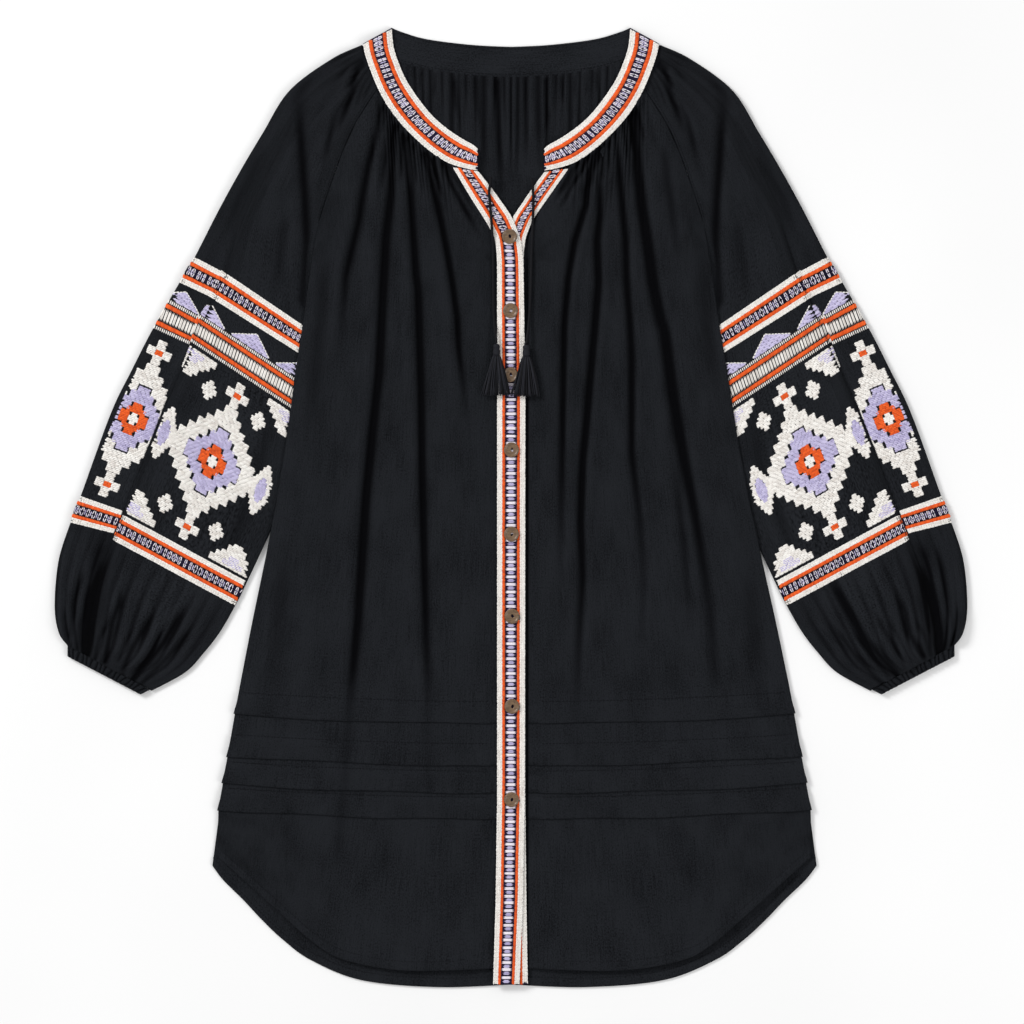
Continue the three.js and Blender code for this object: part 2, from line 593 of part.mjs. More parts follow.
function backPanel() {
  const neck = curveThrough([...BACK_BAND].reverse(), 'low', 'lowY');
  const hem = curveThrough([...BACK_HEM].reverse(), 'half', 'y');
  const gathers = spread(-BACK_GATHER_REACH, BACK_GATHER_REACH, BACK_GATHERS * 2);
  const mirrored = (columns) => [...columns.map((c) => -c).reverse(), ...columns];
  const edge = BACK_EDGE_COLUMNS;
  const fine = [...edge.map((c) => -c).reverse(), ...gathers, ...edge];
  const broad = mirrored([0.16, 0.32, 0.47, GATHER_TO, 0.79, 0.86, 0.95, 1]);
  const hemmed = mirrored([0.16, 0.32, 0.47, 0.55, GATHER_TO, 0.7, 0.79, 0.825, 0.86, 0.905, 0.95, 1]);
  const seam = TUCKS[TUCKS.length - 1].y;

  const rows = [
    ...BACK_UPPER_ROWS.map((row) => ({ ...row, kind: 'upper', columns: fine })),
    { kind: 'upper', share: BACK_ARMHOLE_SHARE, columns: broad },
    ...BODY_LEVELS.map((level) => ({ ...level, kind: 'level', columns: broad })),
    { kind: 'level', y: BACK_LOW_ROW, columns: broad },
    { kind: 'level', y: seam, columns: broad },
    { kind: 'lower', share: 0.5, columns: hemmed },
    { kind: 'lower', share: 1 - HEM_WIDTH / BACK_HEM_DROP.line, columns: hemmed },
    { kind: 'lower', share: 1 - HEM_WIDTH / BACK_HEM_DROP.step, columns: hemmed, step: HEM_RISE },
    { kind: 'lower', share: 1, columns: hemmed, step: HEM_RISE },
  ].map((row) => ({ gather: 0, lift: 0, step: 0, ...row }));

  function topPoint(share, side) {
    if (share >= GATHER_TO) {
      const along = ((share - GATHER_TO) / (1 - GATHER_TO)) * (BACK_RAGLAN.length - 1);
      const seamPoint = rowBetween(BACK_RAGLAN, along);
      return new THREE.Vector2(side * seamPoint.x, seamPoint.y);
    }
    const half = (share / GATHER_TO) * BACK_RAGLAN[0].half;
    const reach = half / BACK_BAND[0].low;
    const point = neck.getPointAt(reach);
    return new THREE.Vector2(side * half, point.y + UNDERLAP);
  }

  function place(column, row) {
    const side = Math.sign(column) || 1;
    const share = Math.abs(column);
    if (row.kind === 'level') return levelPoint(row, share, side, 0);
    if (row.kind === 'upper') {
      return topPoint(share, side).lerp(levelPoint(BODY_LEVELS[0], share, side, 0), row.share);
    }
    const edgePoint = hem.getPointAt(share);
    const lean = bodyLean(edgePoint.y) * share;
    const from = levelPoint({ y: seam }, share, side, 0);
    return from.lerp(new THREE.Vector2(side * edgePoint.x + lean, edgePoint.y), row.share);
  }

  return clothWall(rows.map((row) => row.columns), (column, rowIndex) => {
    const row = rows[rowIndex];
    const at = place(column, row);
    const share = Math.abs(column);
    const { top: narrowest, base: widest } = ARMHOLE_WIDTH.back;
    const width = row.kind === 'upper' ? lerp(narrowest, widest, row.share) : bodyHalf(at.y);
    const lift = row.kind === 'upper' ? row.share * BODY_LEVELS[0].lift : row.lift;
    const under = bodyLift(lift, (1 - share) * width);
    const place01 = (column / BACK_GATHER_REACH + 1) / 2;
    const inside = place01 > 0 && place01 < 1 ? Math.abs(Math.sin(Math.PI * place01 * BACK_GATHERS)) : 0;
    return {
      outer: [at.x, at.y, under + CLOTH + row.step + row.gather * inside],
      inner: [at.x, at.y, under],
    };
  });
}

// ---------------------------------------------------------------- sleeves and cuffs
/** The middle line of a sleeve's wall across one station: distance from the inner edge, height. */
function sleeveSection(station, width) {
  const floor = CLOTH / 2;
  const upper = UPPER + CLOTH / 2;
  const seamHeight = lerp(upper, floor + FOLD_STEP, station.low);
  const edge = width * FOLD_AT;
  const raised = Math.min(1, station.fold * 2) * 2 * FOLD_STEP;
  const laid = Math.max(0, station.fold * 2 - 1);
  const top = upper + raised;
  const turn = (upper - floor) / 2;
  const end = width - turn - CLOTH / 2 - EDGE_PLAY;
  const bulge = end + turn * TURN_ROUNDING;
  const pleat = PLEAT.map((point) => [
    edge + lerp(point.stepped * Math.min(1, width / SOFT_PLEAT_WIDTH), point.folded, laid),
    upper + raised * lerp(point.ramp, point.level, laid),
  ]);
  const flatSeam = Math.min(SEAM_FLAT.most, width * SEAM_FLAT.share);
  const climb = Math.min(SEAM_CLIMB.most, width * SEAM_CLIMB.share);
  const crest = Math.max(edge - FOLD_HIDDEN - FOLD_CREST, lerp(climb, edge, 0.75));
  return [
    [0, seamHeight],
    [flatSeam, seamHeight],
    [climb, upper],
    [Math.max(edge - FOLD_SLOPE, lerp(climb, edge, 0.4)), upper],
    [crest, lerp(upper, top, lerp(0.75, 1, laid))],
    ...pleat,
    [lerp(edge, width, 0.6), upper],
    [end, upper],
    [bulge, floor + turn * 1.5],
    [bulge, floor + turn * 0.5],
    [end, floor],
    [width * 0.62, floor],
    [width * 0.3, floor],
    [flatSeam * 0.5, floor],
    [0, floor],
  ];
}

const SECTION_POINTS = 22;
const TURN_COLUMN = 16; // behind this column the sleeve's cloth belongs to the under half
const SECTION_COLUMNS = spread(0, SECTION_POINTS - 1, SECTION_POINTS - 1);

/** The section's columns with more of them where the cloth is gathered into the cuff. */
function gatheredColumns() {
  const extra = SECTION_COLUMNS.slice(0, -1).flatMap((column) => {
    const splits = { 1: 2, 2: 6, 3: 5, 13: 5 }[column] ?? 1;
    return spread(column, column + 1, splits).slice(0, -1);
  });
  return [...extra, SECTION_POINTS - 1];
}

/** The point of a section at a fractional column, with the direction square to the cloth there. */
function alongSection(section, column) {
  const from = Math.min(Math.floor(column), section.length - 2);
  const share = column - from;
  const at = [0, 1].map((k) => lerp(section[from][k], section[from + 1][k], share));
  const isCorner = share === 0 || share === 1;
  const before = section[Math.max(isCorner ? from + share - 1 : from, 0)];
  const after = section[Math.min(isCorner ? from + share + 1 : from + 1, section.length - 1)];
  const run = new THREE.Vector2(after[0] - before[0], after[1] - before[1]).normalize();
  return { at, square: [-run.y, run.x] };
}

function sleeve(side) {
  const coarse = SECTION_COLUMNS;
  const fine = gatheredColumns();
  const rows = SLEEVE.map((station) => (station.puff > 0.4 ? fine : coarse));

  return clothWall(rows, (column, rowIndex) => {
    const station = SLEEVE[rowIndex];
    const outerEnd = new THREE.Vector2(station.outer, station.outerY);
    const frontEnd = new THREE.Vector2(station.inner, station.innerY);
    const backRow = BACK_RAGLAN[rowIndex];
    const backEnd = backRow ? new THREE.Vector2(backRow.half, backRow.y) : frontEnd;
    const innerEnd = column > TURN_COLUMN ? backEnd : frontEnd;
    const width = outerEnd.distanceTo(frontEnd);
    const section = sleeveSection(station, width);
    const { at, square } = alongSection(section, column);
    const inPleat = column > PLEAT_FROM && column < PLEAT_TO;
    const onFront = column > 1 && column < TURN_COLUMN - 1 && !inPleat;
    const wave = onFront ? Math.abs(Math.sin(Math.PI * (at[0] / width) * SLEEVE_GATHERS)) : 0;
    const lifted = at[1] + wave * station.puff * PUFF_HEIGHT;
    const seamGap = rowIndex < FRONT_RAGLAN.length ? SEAM / width : 0;
    const faces = [1, -1].map((face) => {
      const q = at[0] + (square[0] * face * CLOTH) / 2;
      const z = lifted + (square[1] * face * CLOTH) / 2;
      const point = innerEnd.clone().lerp(outerEnd, Math.max(q / width, 0) + seamGap * (1 - q / width));
      return [side * point.x, point.y, Math.max(z, 0)];
    });
    return { outer: faces[0], inner: faces[1] };
  });
}

function cuff(side) {
  const low = BAND / 2;
  const high = BAND / 2 + BAND + SEAM * 2;
  const ribs = spread(0, 1, CUFF_RIBS * 2);
  const front = ribs.map((share, i) => ({ share, z: high + (i % 2 ? CUFF_RIB_RISE : 0), turn: 0 }));
  const outerTurn = [{ share: 1, z: (high + low) / 2, turn: 1 }];
  const under = spread(1, 0, 4).map((share) => ({ share, z: low, turn: 0 }));
  const section = [...front, ...outerTurn, ...under];
  const columns = section.map((_, i) => i);

  return clothWall([columns, columns], (column, rowIndex) => {
    const edge = CUFF[rowIndex];
    const outerEnd = new THREE.Vector2(edge.outer, edge.outerY);
    const innerEnd = new THREE.Vector2(edge.inner, edge.innerY);
    const width = outerEnd.distanceTo(innerEnd);
    const { share, z, turn } = section[column];
    const q = lerp(CUFF_START, width - CUFF_INSET, share) + turn * (CUFF_INSET - BAND / 2 - EDGE_PLAY);
    const bend = turn ? [1, 0] : [0, column < front.length ? 1 : -1];
    const faces = [1, -1].map((face) => {
      const along = (q + (bend[0] * face * BAND) / 2) / width;
      const point = innerEnd.clone().lerp(outerEnd, along);
      return [side * point.x, point.y, z + (bend[1] * face * BAND) / 2];
    });
    return { outer: faces[0], inner: faces[1] };
  });
}

// ---------------------------------------------------------------- bands and plackets
/** A band between two edges, given row by row, with its underside's height across it. */
function band(rows, across) {
  const columns = across.map((_, i) => i);
  return clothWall(rows.map(() => columns), (column, rowIndex) => {
    const row = rows[rowIndex];
    const share = across[column];
    const x = lerp(row.from[0], row.to[0], share);
    const y = lerp(row.from[1], row.to[1], share);
    const z = row.height(share);
    return { outer: [x, y, z + BAND], inner: [x, y, z] };
  });
}

function frontNeckband(side) {
  const outer = curveThrough(NECKBAND, 'outer', 'outerY');
  const inner = curveThrough(NECKBAND, 'inner', 'innerY');
  const last = NECKBAND.length - 1;
  const rows = spread(0, 1, last * 2).map((share) => {
    const from = outer.getPoint(share);
    const to = inner.getPoint(share);
    const row = Math.min(Math.floor(share * last), last - 1);
    const part = share * last - row;
    const outerZ = lerp(NECKBAND[row].outerZ, NECKBAND[row + 1].outerZ, part);
    const innerZ = lerp(NECKBAND[row].innerZ, NECKBAND[row + 1].innerZ, part);
    const height = (across) => lerp(outerZ, innerZ, smoothstep(across, 0.15, 1));
    return { from: [side * from.x, from.y], to: [side * to.x, to.y], height };
  });
  return band(rows, [0, 0.33, 0.67, 1]);
}

function backNeckband() {
  const low = curveThrough(BACK_BAND, 'low', 'lowY');
  const top = curveThrough(BACK_BAND, 'top', 'topY');
  const half = spread(0, 1, 10).map((share) => ({ low: low.getPoint(share), top: top.getPoint(share) }));
  const whole = [
    ...half.map(({ low: l, top: t }) => ({ from: [-l.x, l.y], to: [-t.x, t.y] })),
    ...half.slice(0, -1).reverse().map(({ low: l, top: t }) => ({ from: [l.x, l.y], to: [t.x, t.y] })),
  ];
  const overPanel = CLOTH + SEAM * 1.5;
  const height = (across) => overPanel * (1 - smoothstep(across, 0.2, BACK_BAND_STEP / 24));
  const across = [0, 0.2, 0.35, 0.5, 1];
  return band(whole.map((row) => ({ ...row, height })), across);
}

function placket(table, underside) {
  const rows = table.map((row) => ({
    from: [row.left, row.leftY], to: [row.right, row.rightY], height: () => underside,
  }));
  return band(rows, [0, 0.5, 1]);
}

// ---------------------------------------------------------------- buttons
function button() {
  const rim = BUTTON_RADIUS - BUTTON_RIM;
  const dish = BUTTON_HEIGHT * BUTTON_DISH;
  const profile = [
    [BUTTON_HOLE, 0],
    [BUTTON_RADIUS - BUTTON_BEVEL, 0],
    [BUTTON_RADIUS, BUTTON_BEVEL],
    [BUTTON_RADIUS, BUTTON_HEIGHT - BUTTON_BEVEL],
    [BUTTON_RADIUS - BUTTON_BEVEL, BUTTON_HEIGHT],
    [rim, BUTTON_HEIGHT],
    [rim - BUTTON_BEVEL, dish],
    [BUTTON_HOLE, dish],
    [BUTTON_HOLE, 0],
  ].map(([r, z]) => new THREE.Vector2(r, z));
  const geometry = new THREE.LatheGeometry(profile, 12);
  geometry.rotateX(Math.PI / 2);
  return closedGeometry(geometry);
}

/** Merges a geometry's shared points and turns its faces outwards. */
function closedGeometry(geometry) {
  geometry.deleteAttribute('normal');
  geometry.deleteAttribute('uv');
  const merged = mergeVertices(geometry, 1e-4);
  const positions = Array.from(merged.attributes.position.array);
  const index = Array.from(merged.index.array);
  const whole = [];
  for (let i = 0; i < index.length; i += 3) {
    const [a, b, c] = index.slice(i, i + 3);
    if (a !== b && b !== c && a !== c) whole.push(a, b, c);
  }
  if (signedVolume(positions, whole) < 0) whole.reverse();
  return geometryFrom(positions, whole);
}

// ---------------------------------------------------------------- ties and tassels
const TIE_SIDES = 8;

function tie(route) {
  const outline = new THREE.Shape(
    spread(0, Math.PI * 2, TIE_SIDES).slice(0, -1).map(
      (angle) => new THREE.Vector2(Math.cos(angle), Math.sin(angle)).multiplyScalar(TIE_RADIUS),
    ),
  );
  const path = new THREE.CatmullRomCurve3(route.map((point) => new THREE.Vector3(...point)));
  const steps = Math.round(path.getLength() / (TIE_RADIUS * 5));
  const options = { steps, extrudePath: path, bevelEnabled: false };
  return closedGeometry(new THREE.ExtrudeGeometry(outline, options));
}

function toSolid(geometry) {
  const merged = closedGeometry(geometry);
  return new wasm.Manifold(new wasm.Mesh({
    numProp: 3,
    vertProperties: Float32Array.from(merged.attributes.position.array),
    triVerts: Uint32Array.from(merged.index.array),
  }));
}

/** One strand: a thin three-sided taper through a few rings. */
function strand(points, radii) {
  const sides = 3;
  const positions = [];
  const index = [];
  points.forEach((point, ring) => {
    spread(0, Math.PI * 2, sides).slice(0, -1).forEach((angle) => {
      positions.push(point[0] + radii[ring] * Math.cos(angle + Math.PI / 2));
      positions.push(point[1]);
      positions.push(point[2] + radii[ring] * Math.sin(angle + Math.PI / 2));
    });
  });
  for (let ring = 0; ring + 1 < points.length; ring += 1) {
    for (let corner = 0; corner < sides; corner += 1) {
      const a = ring * sides + corner;
      const b = ring * sides + ((corner + 1) % sides);
      index.push(a, b, b + sides, a, b + sides, a + sides);
    }
  }
  const end = (points.length - 1) * sides;
  index.push(0, 2, 1, end, end + 1, end + 2);
  if (signedVolume(positions, index) < 0) index.reverse();
  return geometryFrom(positions, index);
}

function tassel(side) {
  const size = TASSELS[side];
  const length = size.headLength;
  const profile = [
    [0, 0], [1.9, 0], [2.9, 1.2], [HEAD_RADIUS, 3], [HEAD_COLLAR, 4.6], [HEAD_COLLAR, 5.4],
    [HEAD_RADIUS, 7], [HEAD_RADIUS, length - 1], [2.4, length], [0, length],
  ].map(([r, z]) => new THREE.Vector2(r, z));
  const head = new THREE.LatheGeometry(profile, 10);
  head.rotateZ(Math.PI);
  head.translate(size.x, size.y, size.z);
  let whole = toSolid(head);
  const rootY = size.y - length + SKIRT_UNDERLAP;
  [0, 1].forEach((layer) => {
    spread(-1, 1, STRANDS_PER_LAYER - 1).forEach((place, i) => {
      const stagger = layer * LAYER_STAGGER;
      const fan = (place + stagger) * (SKIRT_WIDTH / 2 - STRAND_RADIUS);
      const root = (place + stagger) * (HEAD_RADIUS - 0.9);
      const zRoot = size.z + (layer ? -LAYER_HEIGHT : LAYER_HEIGHT);
      const towardsCentre = -side * place;
      const drop = smoothstep(towardsCentre, 0.35, -0.8) * SKIRT_DROP[layer];
      const shorter = SHORTER_STRAND * Math.abs(Math.sin(i * 2.4 + layer));
      const rows = [0, 0.45, 1];
      const points = rows.map((t) => [
        size.x + lerp(root, fan, t ** 0.9) + size.lean * t * t,
        rootY - (size.skirtLength - shorter) * t,
        zRoot + SKIRT_BULGE[layer] * Math.sin(Math.PI * t) + (SKIRT_RISE[layer] - drop) * t,
      ]);
      const radii = rows.map((t) => lerp(STRAND_ROOT_RADIUS, STRAND_RADIUS, t));
      whole = whole.add(toSolid(strand(points, radii)));
    });
  });
  const mesh = whole.getMesh();
  return geometryFrom(Array.from(mesh.vertProperties), Array.from(mesh.triVerts));
}

// ---------------------------------------------------------------- the whole tunic
addPiece('back_panel', backPanel(), CLOTH_FINISH);
[[LEFT, 'left'], [RIGHT, 'right']].forEach(([side, name]) => {
  addPiece(`front_panel_${name}`, frontPanel(side), CLOTH_FINISH);
  addPiece(`sleeve_${name}`, sleeve(side), CLOTH_FINISH);
  addPiece(`cuff_${name}`, cuff(side), CLOTH_FINISH);
  addPiece(`neckband_${name}`, frontNeckband(side), THREAD_FINISH);
});
addPiece('neckband_back', backNeckband(), CLOTH_FINISH);
addPiece('placket_upper', placket(UPPER_PLACKET, UPPER_PLACKET_Z), THREAD_FINISH);
addPiece('placket_under', placket(UNDER_PLACKET, UNDER_PLACKET_Z), THREAD_FINISH);
BUTTONS.forEach((place, i) => {
  const piece = addPiece(`button_${i + 1}`, button(), COCONUT_FINISH);
  piece.position.set(place.x, place.y, UPPER_PLACKET_Z + BAND + SEAM);
});
addPiece('tie_cord_left', tie(LEFT_TIE), TIE_FINISH);
addPiece('tie_cord_right', tie(RIGHT_TIE), TIE_FINISH);
addPiece('tassel_left', tassel(LEFT), TIE_FINISH);
addPiece('tassel_right', tassel(RIGHT), TIE_FINISH);

export default tunic;
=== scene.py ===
"""Looks of the kaftan tunic: its cloth, with painted shade in its creases, and its bands, stitches,
buttons, ties and tassels.

The tunic lies on a table, front up, with the neck towards +Y. Tables are in millimetres and are
turned to metres where a mesh is made. Widths named half are measured from the centre line.
"""

import logging
import math
from dataclasses import dataclass, field
from enum import Enum

import bmesh
import bpy
import numpy as np
from mathutils import Matrix, Vector
from mathutils.bvhtree import BVHTree


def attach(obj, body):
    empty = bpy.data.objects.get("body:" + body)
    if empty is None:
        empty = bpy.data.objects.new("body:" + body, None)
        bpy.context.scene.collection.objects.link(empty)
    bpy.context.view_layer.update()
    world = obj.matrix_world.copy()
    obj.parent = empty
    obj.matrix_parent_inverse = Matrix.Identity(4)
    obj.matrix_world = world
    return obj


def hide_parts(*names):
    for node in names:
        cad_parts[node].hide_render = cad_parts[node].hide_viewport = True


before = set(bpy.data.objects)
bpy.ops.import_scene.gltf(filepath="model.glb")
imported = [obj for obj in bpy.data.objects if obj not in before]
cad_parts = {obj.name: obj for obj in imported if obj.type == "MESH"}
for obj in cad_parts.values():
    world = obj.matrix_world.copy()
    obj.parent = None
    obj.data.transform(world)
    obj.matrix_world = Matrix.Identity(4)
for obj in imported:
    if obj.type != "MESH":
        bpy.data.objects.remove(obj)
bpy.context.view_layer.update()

LOG = logging.getLogger("tunic")
MM = 0.001
LEFT, RIGHT = -1, 1
SIDES = {LEFT: "left", RIGHT: "right"}
Array = np.ndarray
Table = tuple[tuple[float, ...], ...]

# ---------------------------------------------------------------- sizes shared by the pieces
CLOTH = 1.2
BAND = 1.4
SEAM = 0.3
UNDERLAP = 4.0
UPPER = 3.2
HEM_WIDTH = 9.0
BODY_SIDE = (
    (280.5, 193), (244.5, 199), (188, 207), (136, 215.5), (56, 227), (0, 237), (-48, 246.5),
    (-112, 259.5), (-194, 275.5), (-274, 289.5), (-334, 299.5), (-358, 302.5),
)
LEAN = ((176, 0), (-48, 2.5), (-194, 3.5))
BODY_LIFT = ((244.5, 3), (-30, 3), (-75, 0))
BODY_TOP = 244.5
LIFT_FULL, LIFT_END = 13.0, 48.0
FRONT_RAGLAN = ((131, 421), (155, 383.5), (168, 354.5), (182, 315.5), (193, 280.5))
BACK_RAGLAN = ((134, 456), (150, 412), (165, 368), (180, 320), (193, 280.5))
GATHER_FROM, GATHER_TO = 0.2, 0.62
TUCKS = (-217.0, -259.0, -286.5, -312.5)
TUCK_DEPTH, TUCK_SWEEP = 21.0, 9.5
CENTRE_EDGE = {
    LEFT: ((10, 246), (12, 269), (21.6, 286.6), (55.6, 341)),
    RIGHT: ((17.4, 246), (17.4, 268.5), (23.6, 287.7), (58.6, 339)),
}
GATHERED_EDGE = (
    (60, 346), (69.7, 351.8), (90.4, 367.5), (106, 383.2), (117.7, 398.8), (127.5, 414.3),
)
CENTRE_FRONT = {
    LEFT: ((246, 10), (-290, 10), (-470, 14)),
    RIGHT: ((246, 17.4), (-470, 17.4)),
}
BACK_HEM = (
    (302, -359), (291, -373.5), (270.5, -393.5), (251.5, -413.5), (230, -433.5), (202, -453.5),
    (151, -473.5), (75, -480.5), (0, -478),
)
FRONT_HEM = (
    (297, -350), (274, -370), (232, -408.5), (200, -436.5), (170, -453), (109, -463.5),
    (18, -461.5),
)
# Front neckband: outer, its y, inner, its y, underside at the outer and at the inner edge.
NECKBAND = (
    (148, 462, 119, 478.5, 4.9, 1.7), (145.5, 450, 117.3, 460, 5.6, 3.3),
    (141, 437, 113, 446, 5.7, 3.5), (134.5, 420.5, 106.5, 430, 5.7, 3.5),
    (126, 404, 99.5, 418, 5.7, 3.6), (115, 388, 90, 404.5, 5.7, 3.6),
    (101, 372.5, 78, 390, 5.7, 3.6), (84, 357, 63, 377, 5.7, 3.7),
    (66, 344.5, 47, 366.5, 5.6, 4), (48, 338, 38, 361.5, 5.4, 4.2),
    (33, 335.5, 33, 356.5, 5.2, 4.4),
)
# Back neckband: free top edge and lower seam, from the shoulder fold to the centre.
BACK_BAND = (
    (119, 478.5, 145.5, 463), (108, 474, 128, 450.5), (83, 467, 92, 438.5),
    (39, 461.5, 42, 431), (0, 459.5, 0, 429),
)
# Stations of a sleeve: outer fold, inner edge, fold, low and puff.
SLEEVE = (
    (150, 461.5, 131, 421, 0, 0, 0), (179, 448.5, 155, 383.5, 0, 0, 0),
    (222, 416.5, 168, 354.5, 0, 0, 0), (249, 373.5, 182, 315.5, 0, 0, 0),
    (271, 336.5, 193, 280.5, 0.15, 0, 0), (293, 296.5, 199.6, 244.5, 0.5, 1, 0),
    (317, 249.5, 202, 176.5, 0.72, 1, 0), (332, 224.5, 205, 149.5, 1, 1, 0),
    (359, 177.5, 212, 92.5, 1, 1, 0), (380, 136.5, 219, 54.5, 1, 1, 0),
    (401, 93, 227, 16.5, 1, 1, 0.1), (431, 10.5, 268, -73.5, 1, 1, 0.25),
    (441, -15.5, 280, -97.5, 0.75, 1, 0.45), (453, -53.5, 295, -123.5, 0.5, 1, 0.8),
    (457, -98.5, 311, -144.5, 0.35, 1, 1), (453, -125.5, 330, -164.5, 0.1, 1, 0.8),
    (444, -138.5, 363, -182, 0, 1, 0.35),
)
FOLD_AT, FOLD_HIDDEN, FOLD_SLOPE = 0.74, 12.0, 42.0
# The long pleat from its top layer to the layer below: soft step, its height, laid over, level.
PLEAT = (
    (-5, 1, -5, 1), (-2.6, 0.97, -1, 1), (-1.2, 0.76, 0, 0.75), (-0.3, 0.5, -1, 0.5),
    (0.6, 0.44, -12, 0.5), (1.7, 0.22, -12.8, 0.25), (3, 0.03, -12, 0), (6, 0, 5, 0),
)
CUFF = ((443.4, -139.2, 363.4, -182.7), (443.5, -149.5, 369.5, -188))
UPPER_PLACKET = (
    (-58.6, 339.6, -32.8, 334.9), (-41, 309.5, -16, 313.5), (-25, 284.5, 1, 289.5),
    (-16, 268.5, 10, 266.5), (-14, 246.5, 12.5, 246.5), (-14, 106.5, 14.5, 106.5),
    (-14, -290, 14, -290), (-15.5, -394, 12, -394), (-18, -477.5, 8.5, -477.5),
)
UNDER_PLACKET = (
    (34, 334.9, 58, 338.2), (19, 314.5, 42, 315.5), (2, 289.5, 22.4, 287.5),
    (-6, 268.5, 14.6, 268.5), (-8.4, 252, 12.6, 252), (-9, 106.5, 14, 106.5),
    (-9, -290, 14.3, -290), (-10, -384, 15.4, -384), (-11, -477.2, 17, -477.2),
)
UPPER_PLACKET_Z, UNDER_PLACKET_Z = 5.2, 3.4
BUTTONS = (
    (-1.5, 269.5), (-0.5, 195.5), (-0.5, 131.5), (0.5, 56.5), (0.5, -27.5), (1, -109.5),
    (1, -199.5), (0.5, -292.5),
)


# ---------------------------------------------------------------- tables and curves
def read(table: Table, at: Array | float, key: int = 0, value: int = 1) -> Array:
    """Reads one column of a table at values of another, straight between its rows.

    Args:
        table: Rows of numbers.
        at: Values of the key column.
        key: The key column.
        value: The column that is read.

    Returns:
        The values read.
    """
    rows = np.asarray(table, float)
    rows = rows[np.argsort(rows[:, key])]
    return np.interp(at, rows[:, key], rows[:, value])


def mix(a: Array | float, b: Array | float, share: Array | float) -> Array:
    """Goes straight from a to b."""
    return a + (b - a) * share


def smooth(value: Array | float, low: float, high: float) -> Array:
    """Rises softly from 0 at low to 1 at high."""
    t = np.clip((np.asarray(value, float) - low) / (high - low), 0, 1)
    return t * t * (3 - 2 * t)


def by_row(table: Table, share: Array | float) -> Array:
    """Reads whole rows of a table at shares of its row count.

    Args:
        table: Rows of numbers.
        share: 0 at the first row, 1 at the last.

    Returns:
        One row of numbers for each share.
    """
    rows = np.asarray(table, float)
    place = np.clip(np.asarray(share, float), 0, 1) * (len(rows) - 1)
    index = np.arange(len(rows))
    return np.stack([np.interp(place, index, column) for column in rows.T], axis=-1)


class Route:
    """A smooth curve through points."""

    def __init__(self, points: Table) -> None:
        """Keeps the points and measures the curve.

        Args:
            points: Points of the curve.
        """
        self.points = np.asarray(points, float)
        self.steps = np.linspace(0, 1, 40 * len(self.points))
        path = self.at(self.steps)
        lengths = np.linalg.norm(np.diff(path, axis=0), axis=1)
        self.travel = np.concatenate([[0.0], np.cumsum(lengths)])

    @property
    def length(self) -> float:
        """Length of the curve."""
        return float(self.travel[-1])

    def at(self, share: Array | float) -> Array:
        """Points at shares of the row count.

        Args:
            share: 0 at the first point, 1 at the last.

        Returns:
            One point for each share.
        """
        last = len(self.points) - 1
        place = np.clip(np.asarray(share, float), 0, 1) * last
        row = np.minimum(np.floor(place).astype(int), last - 1)
        t = (place - row)[..., None]
        before = self.points[np.maximum(row - 1, 0)]
        start, end = self.points[row], self.points[row + 1]
        after = self.points[np.minimum(row + 2, last)]
        leave, arrive = (end - before) / 2, (after - start) / 2
        cubic = (2 * start - 2 * end + leave + arrive) * t**3
        square = (-3 * start + 3 * end - 2 * leave - arrive) * t**2
        return cubic + square + leave * t + start

    def along(self, share: Array | float) -> Array:
        """Points at shares of the curve's length."""
        return self.at(np.interp(np.asarray(share) * self.length, self.travel, self.steps))


def body_half(y: Array | float) -> Array:
    """Half width of the body at a height."""
    return read(BODY_SIDE, y)


def body_lean(y: Array | float) -> Array:
    """How far the body leans to the right at a height."""
    return read(LEAN, y)


# ---------------------------------------------------------------- creases
@dataclass(frozen=True)
class Crease:
    """One soft trough in the cloth, with a rounded ridge beside it.

    Attributes:
        path: Half widths and heights of the points that it follows.
        depth: How deep it is.
        width: How far its side reaches.
        start: How deep it is at its first point, as a share.
        end: How deep it is at its last point, as a share.
        ridge: Height of the ridge beside it, as a share of the depth.
    """

    path: Table
    depth: float
    width: float
    start: float = 1.0
    end: float = 0.0
    ridge: float = 0.45

    def height(self, half: Array, y: Array) -> Array:
        """Height that the crease adds at points of the cloth.

        Args:
            half: Half widths of the points.
            y: Heights up the garment of the points.

        Returns:
            The height at each point, below 0 in the trough.
        """
        points = np.asarray(self.path, float)
        lengths = np.linalg.norm(np.diff(points, axis=0), axis=1)
        travel = np.concatenate([[0.0], np.cumsum(lengths)]) / lengths.sum()
        nearest = np.full(half.shape, 1e9)
        beside = np.zeros(half.shape)
        place = np.zeros(half.shape)
        for k, length in enumerate(lengths):
            run = (points[k + 1] - points[k]) / length
            dx, dy = half - points[k, 0], y - points[k, 1]
            along = np.clip(dx * run[0] + dy * run[1], 0, length)
            away = np.hypot(dx - along * run[0], dy - along * run[1])
            closer = away < nearest
            nearest = np.where(closer, away, nearest)
            side = np.sign(dx * -run[1] + dy * run[0])
            beside = np.where(closer, side * away, beside)
            place = np.where(closer, mix(travel[k], travel[k + 1], along / length), place)
        fade = mix(self.start, 1, smooth(place, 0, 0.25)) * mix(1, self.end, smooth(place, 0.55, 1))
        trough = np.exp(-((beside / self.width) ** 2))
        crest = np.exp(-(((beside - 1.9 * self.width) / (1.25 * self.width)) ** 2))
        return self.depth * fade * (self.ridge * crest - trough)


def relief(creases: tuple[Crease, ...], half: Array, y: Array) -> Array:
    """Adds up the heights of several creases.

    Args:
        creases: The creases.
        half: Half widths of the points.
        y: Heights up the garment of the points.

    Returns:
        The summed heights.
    """
    total = np.zeros(half.shape)
    for crease in creases:
        total = total + crease.height(half, y)
    return total


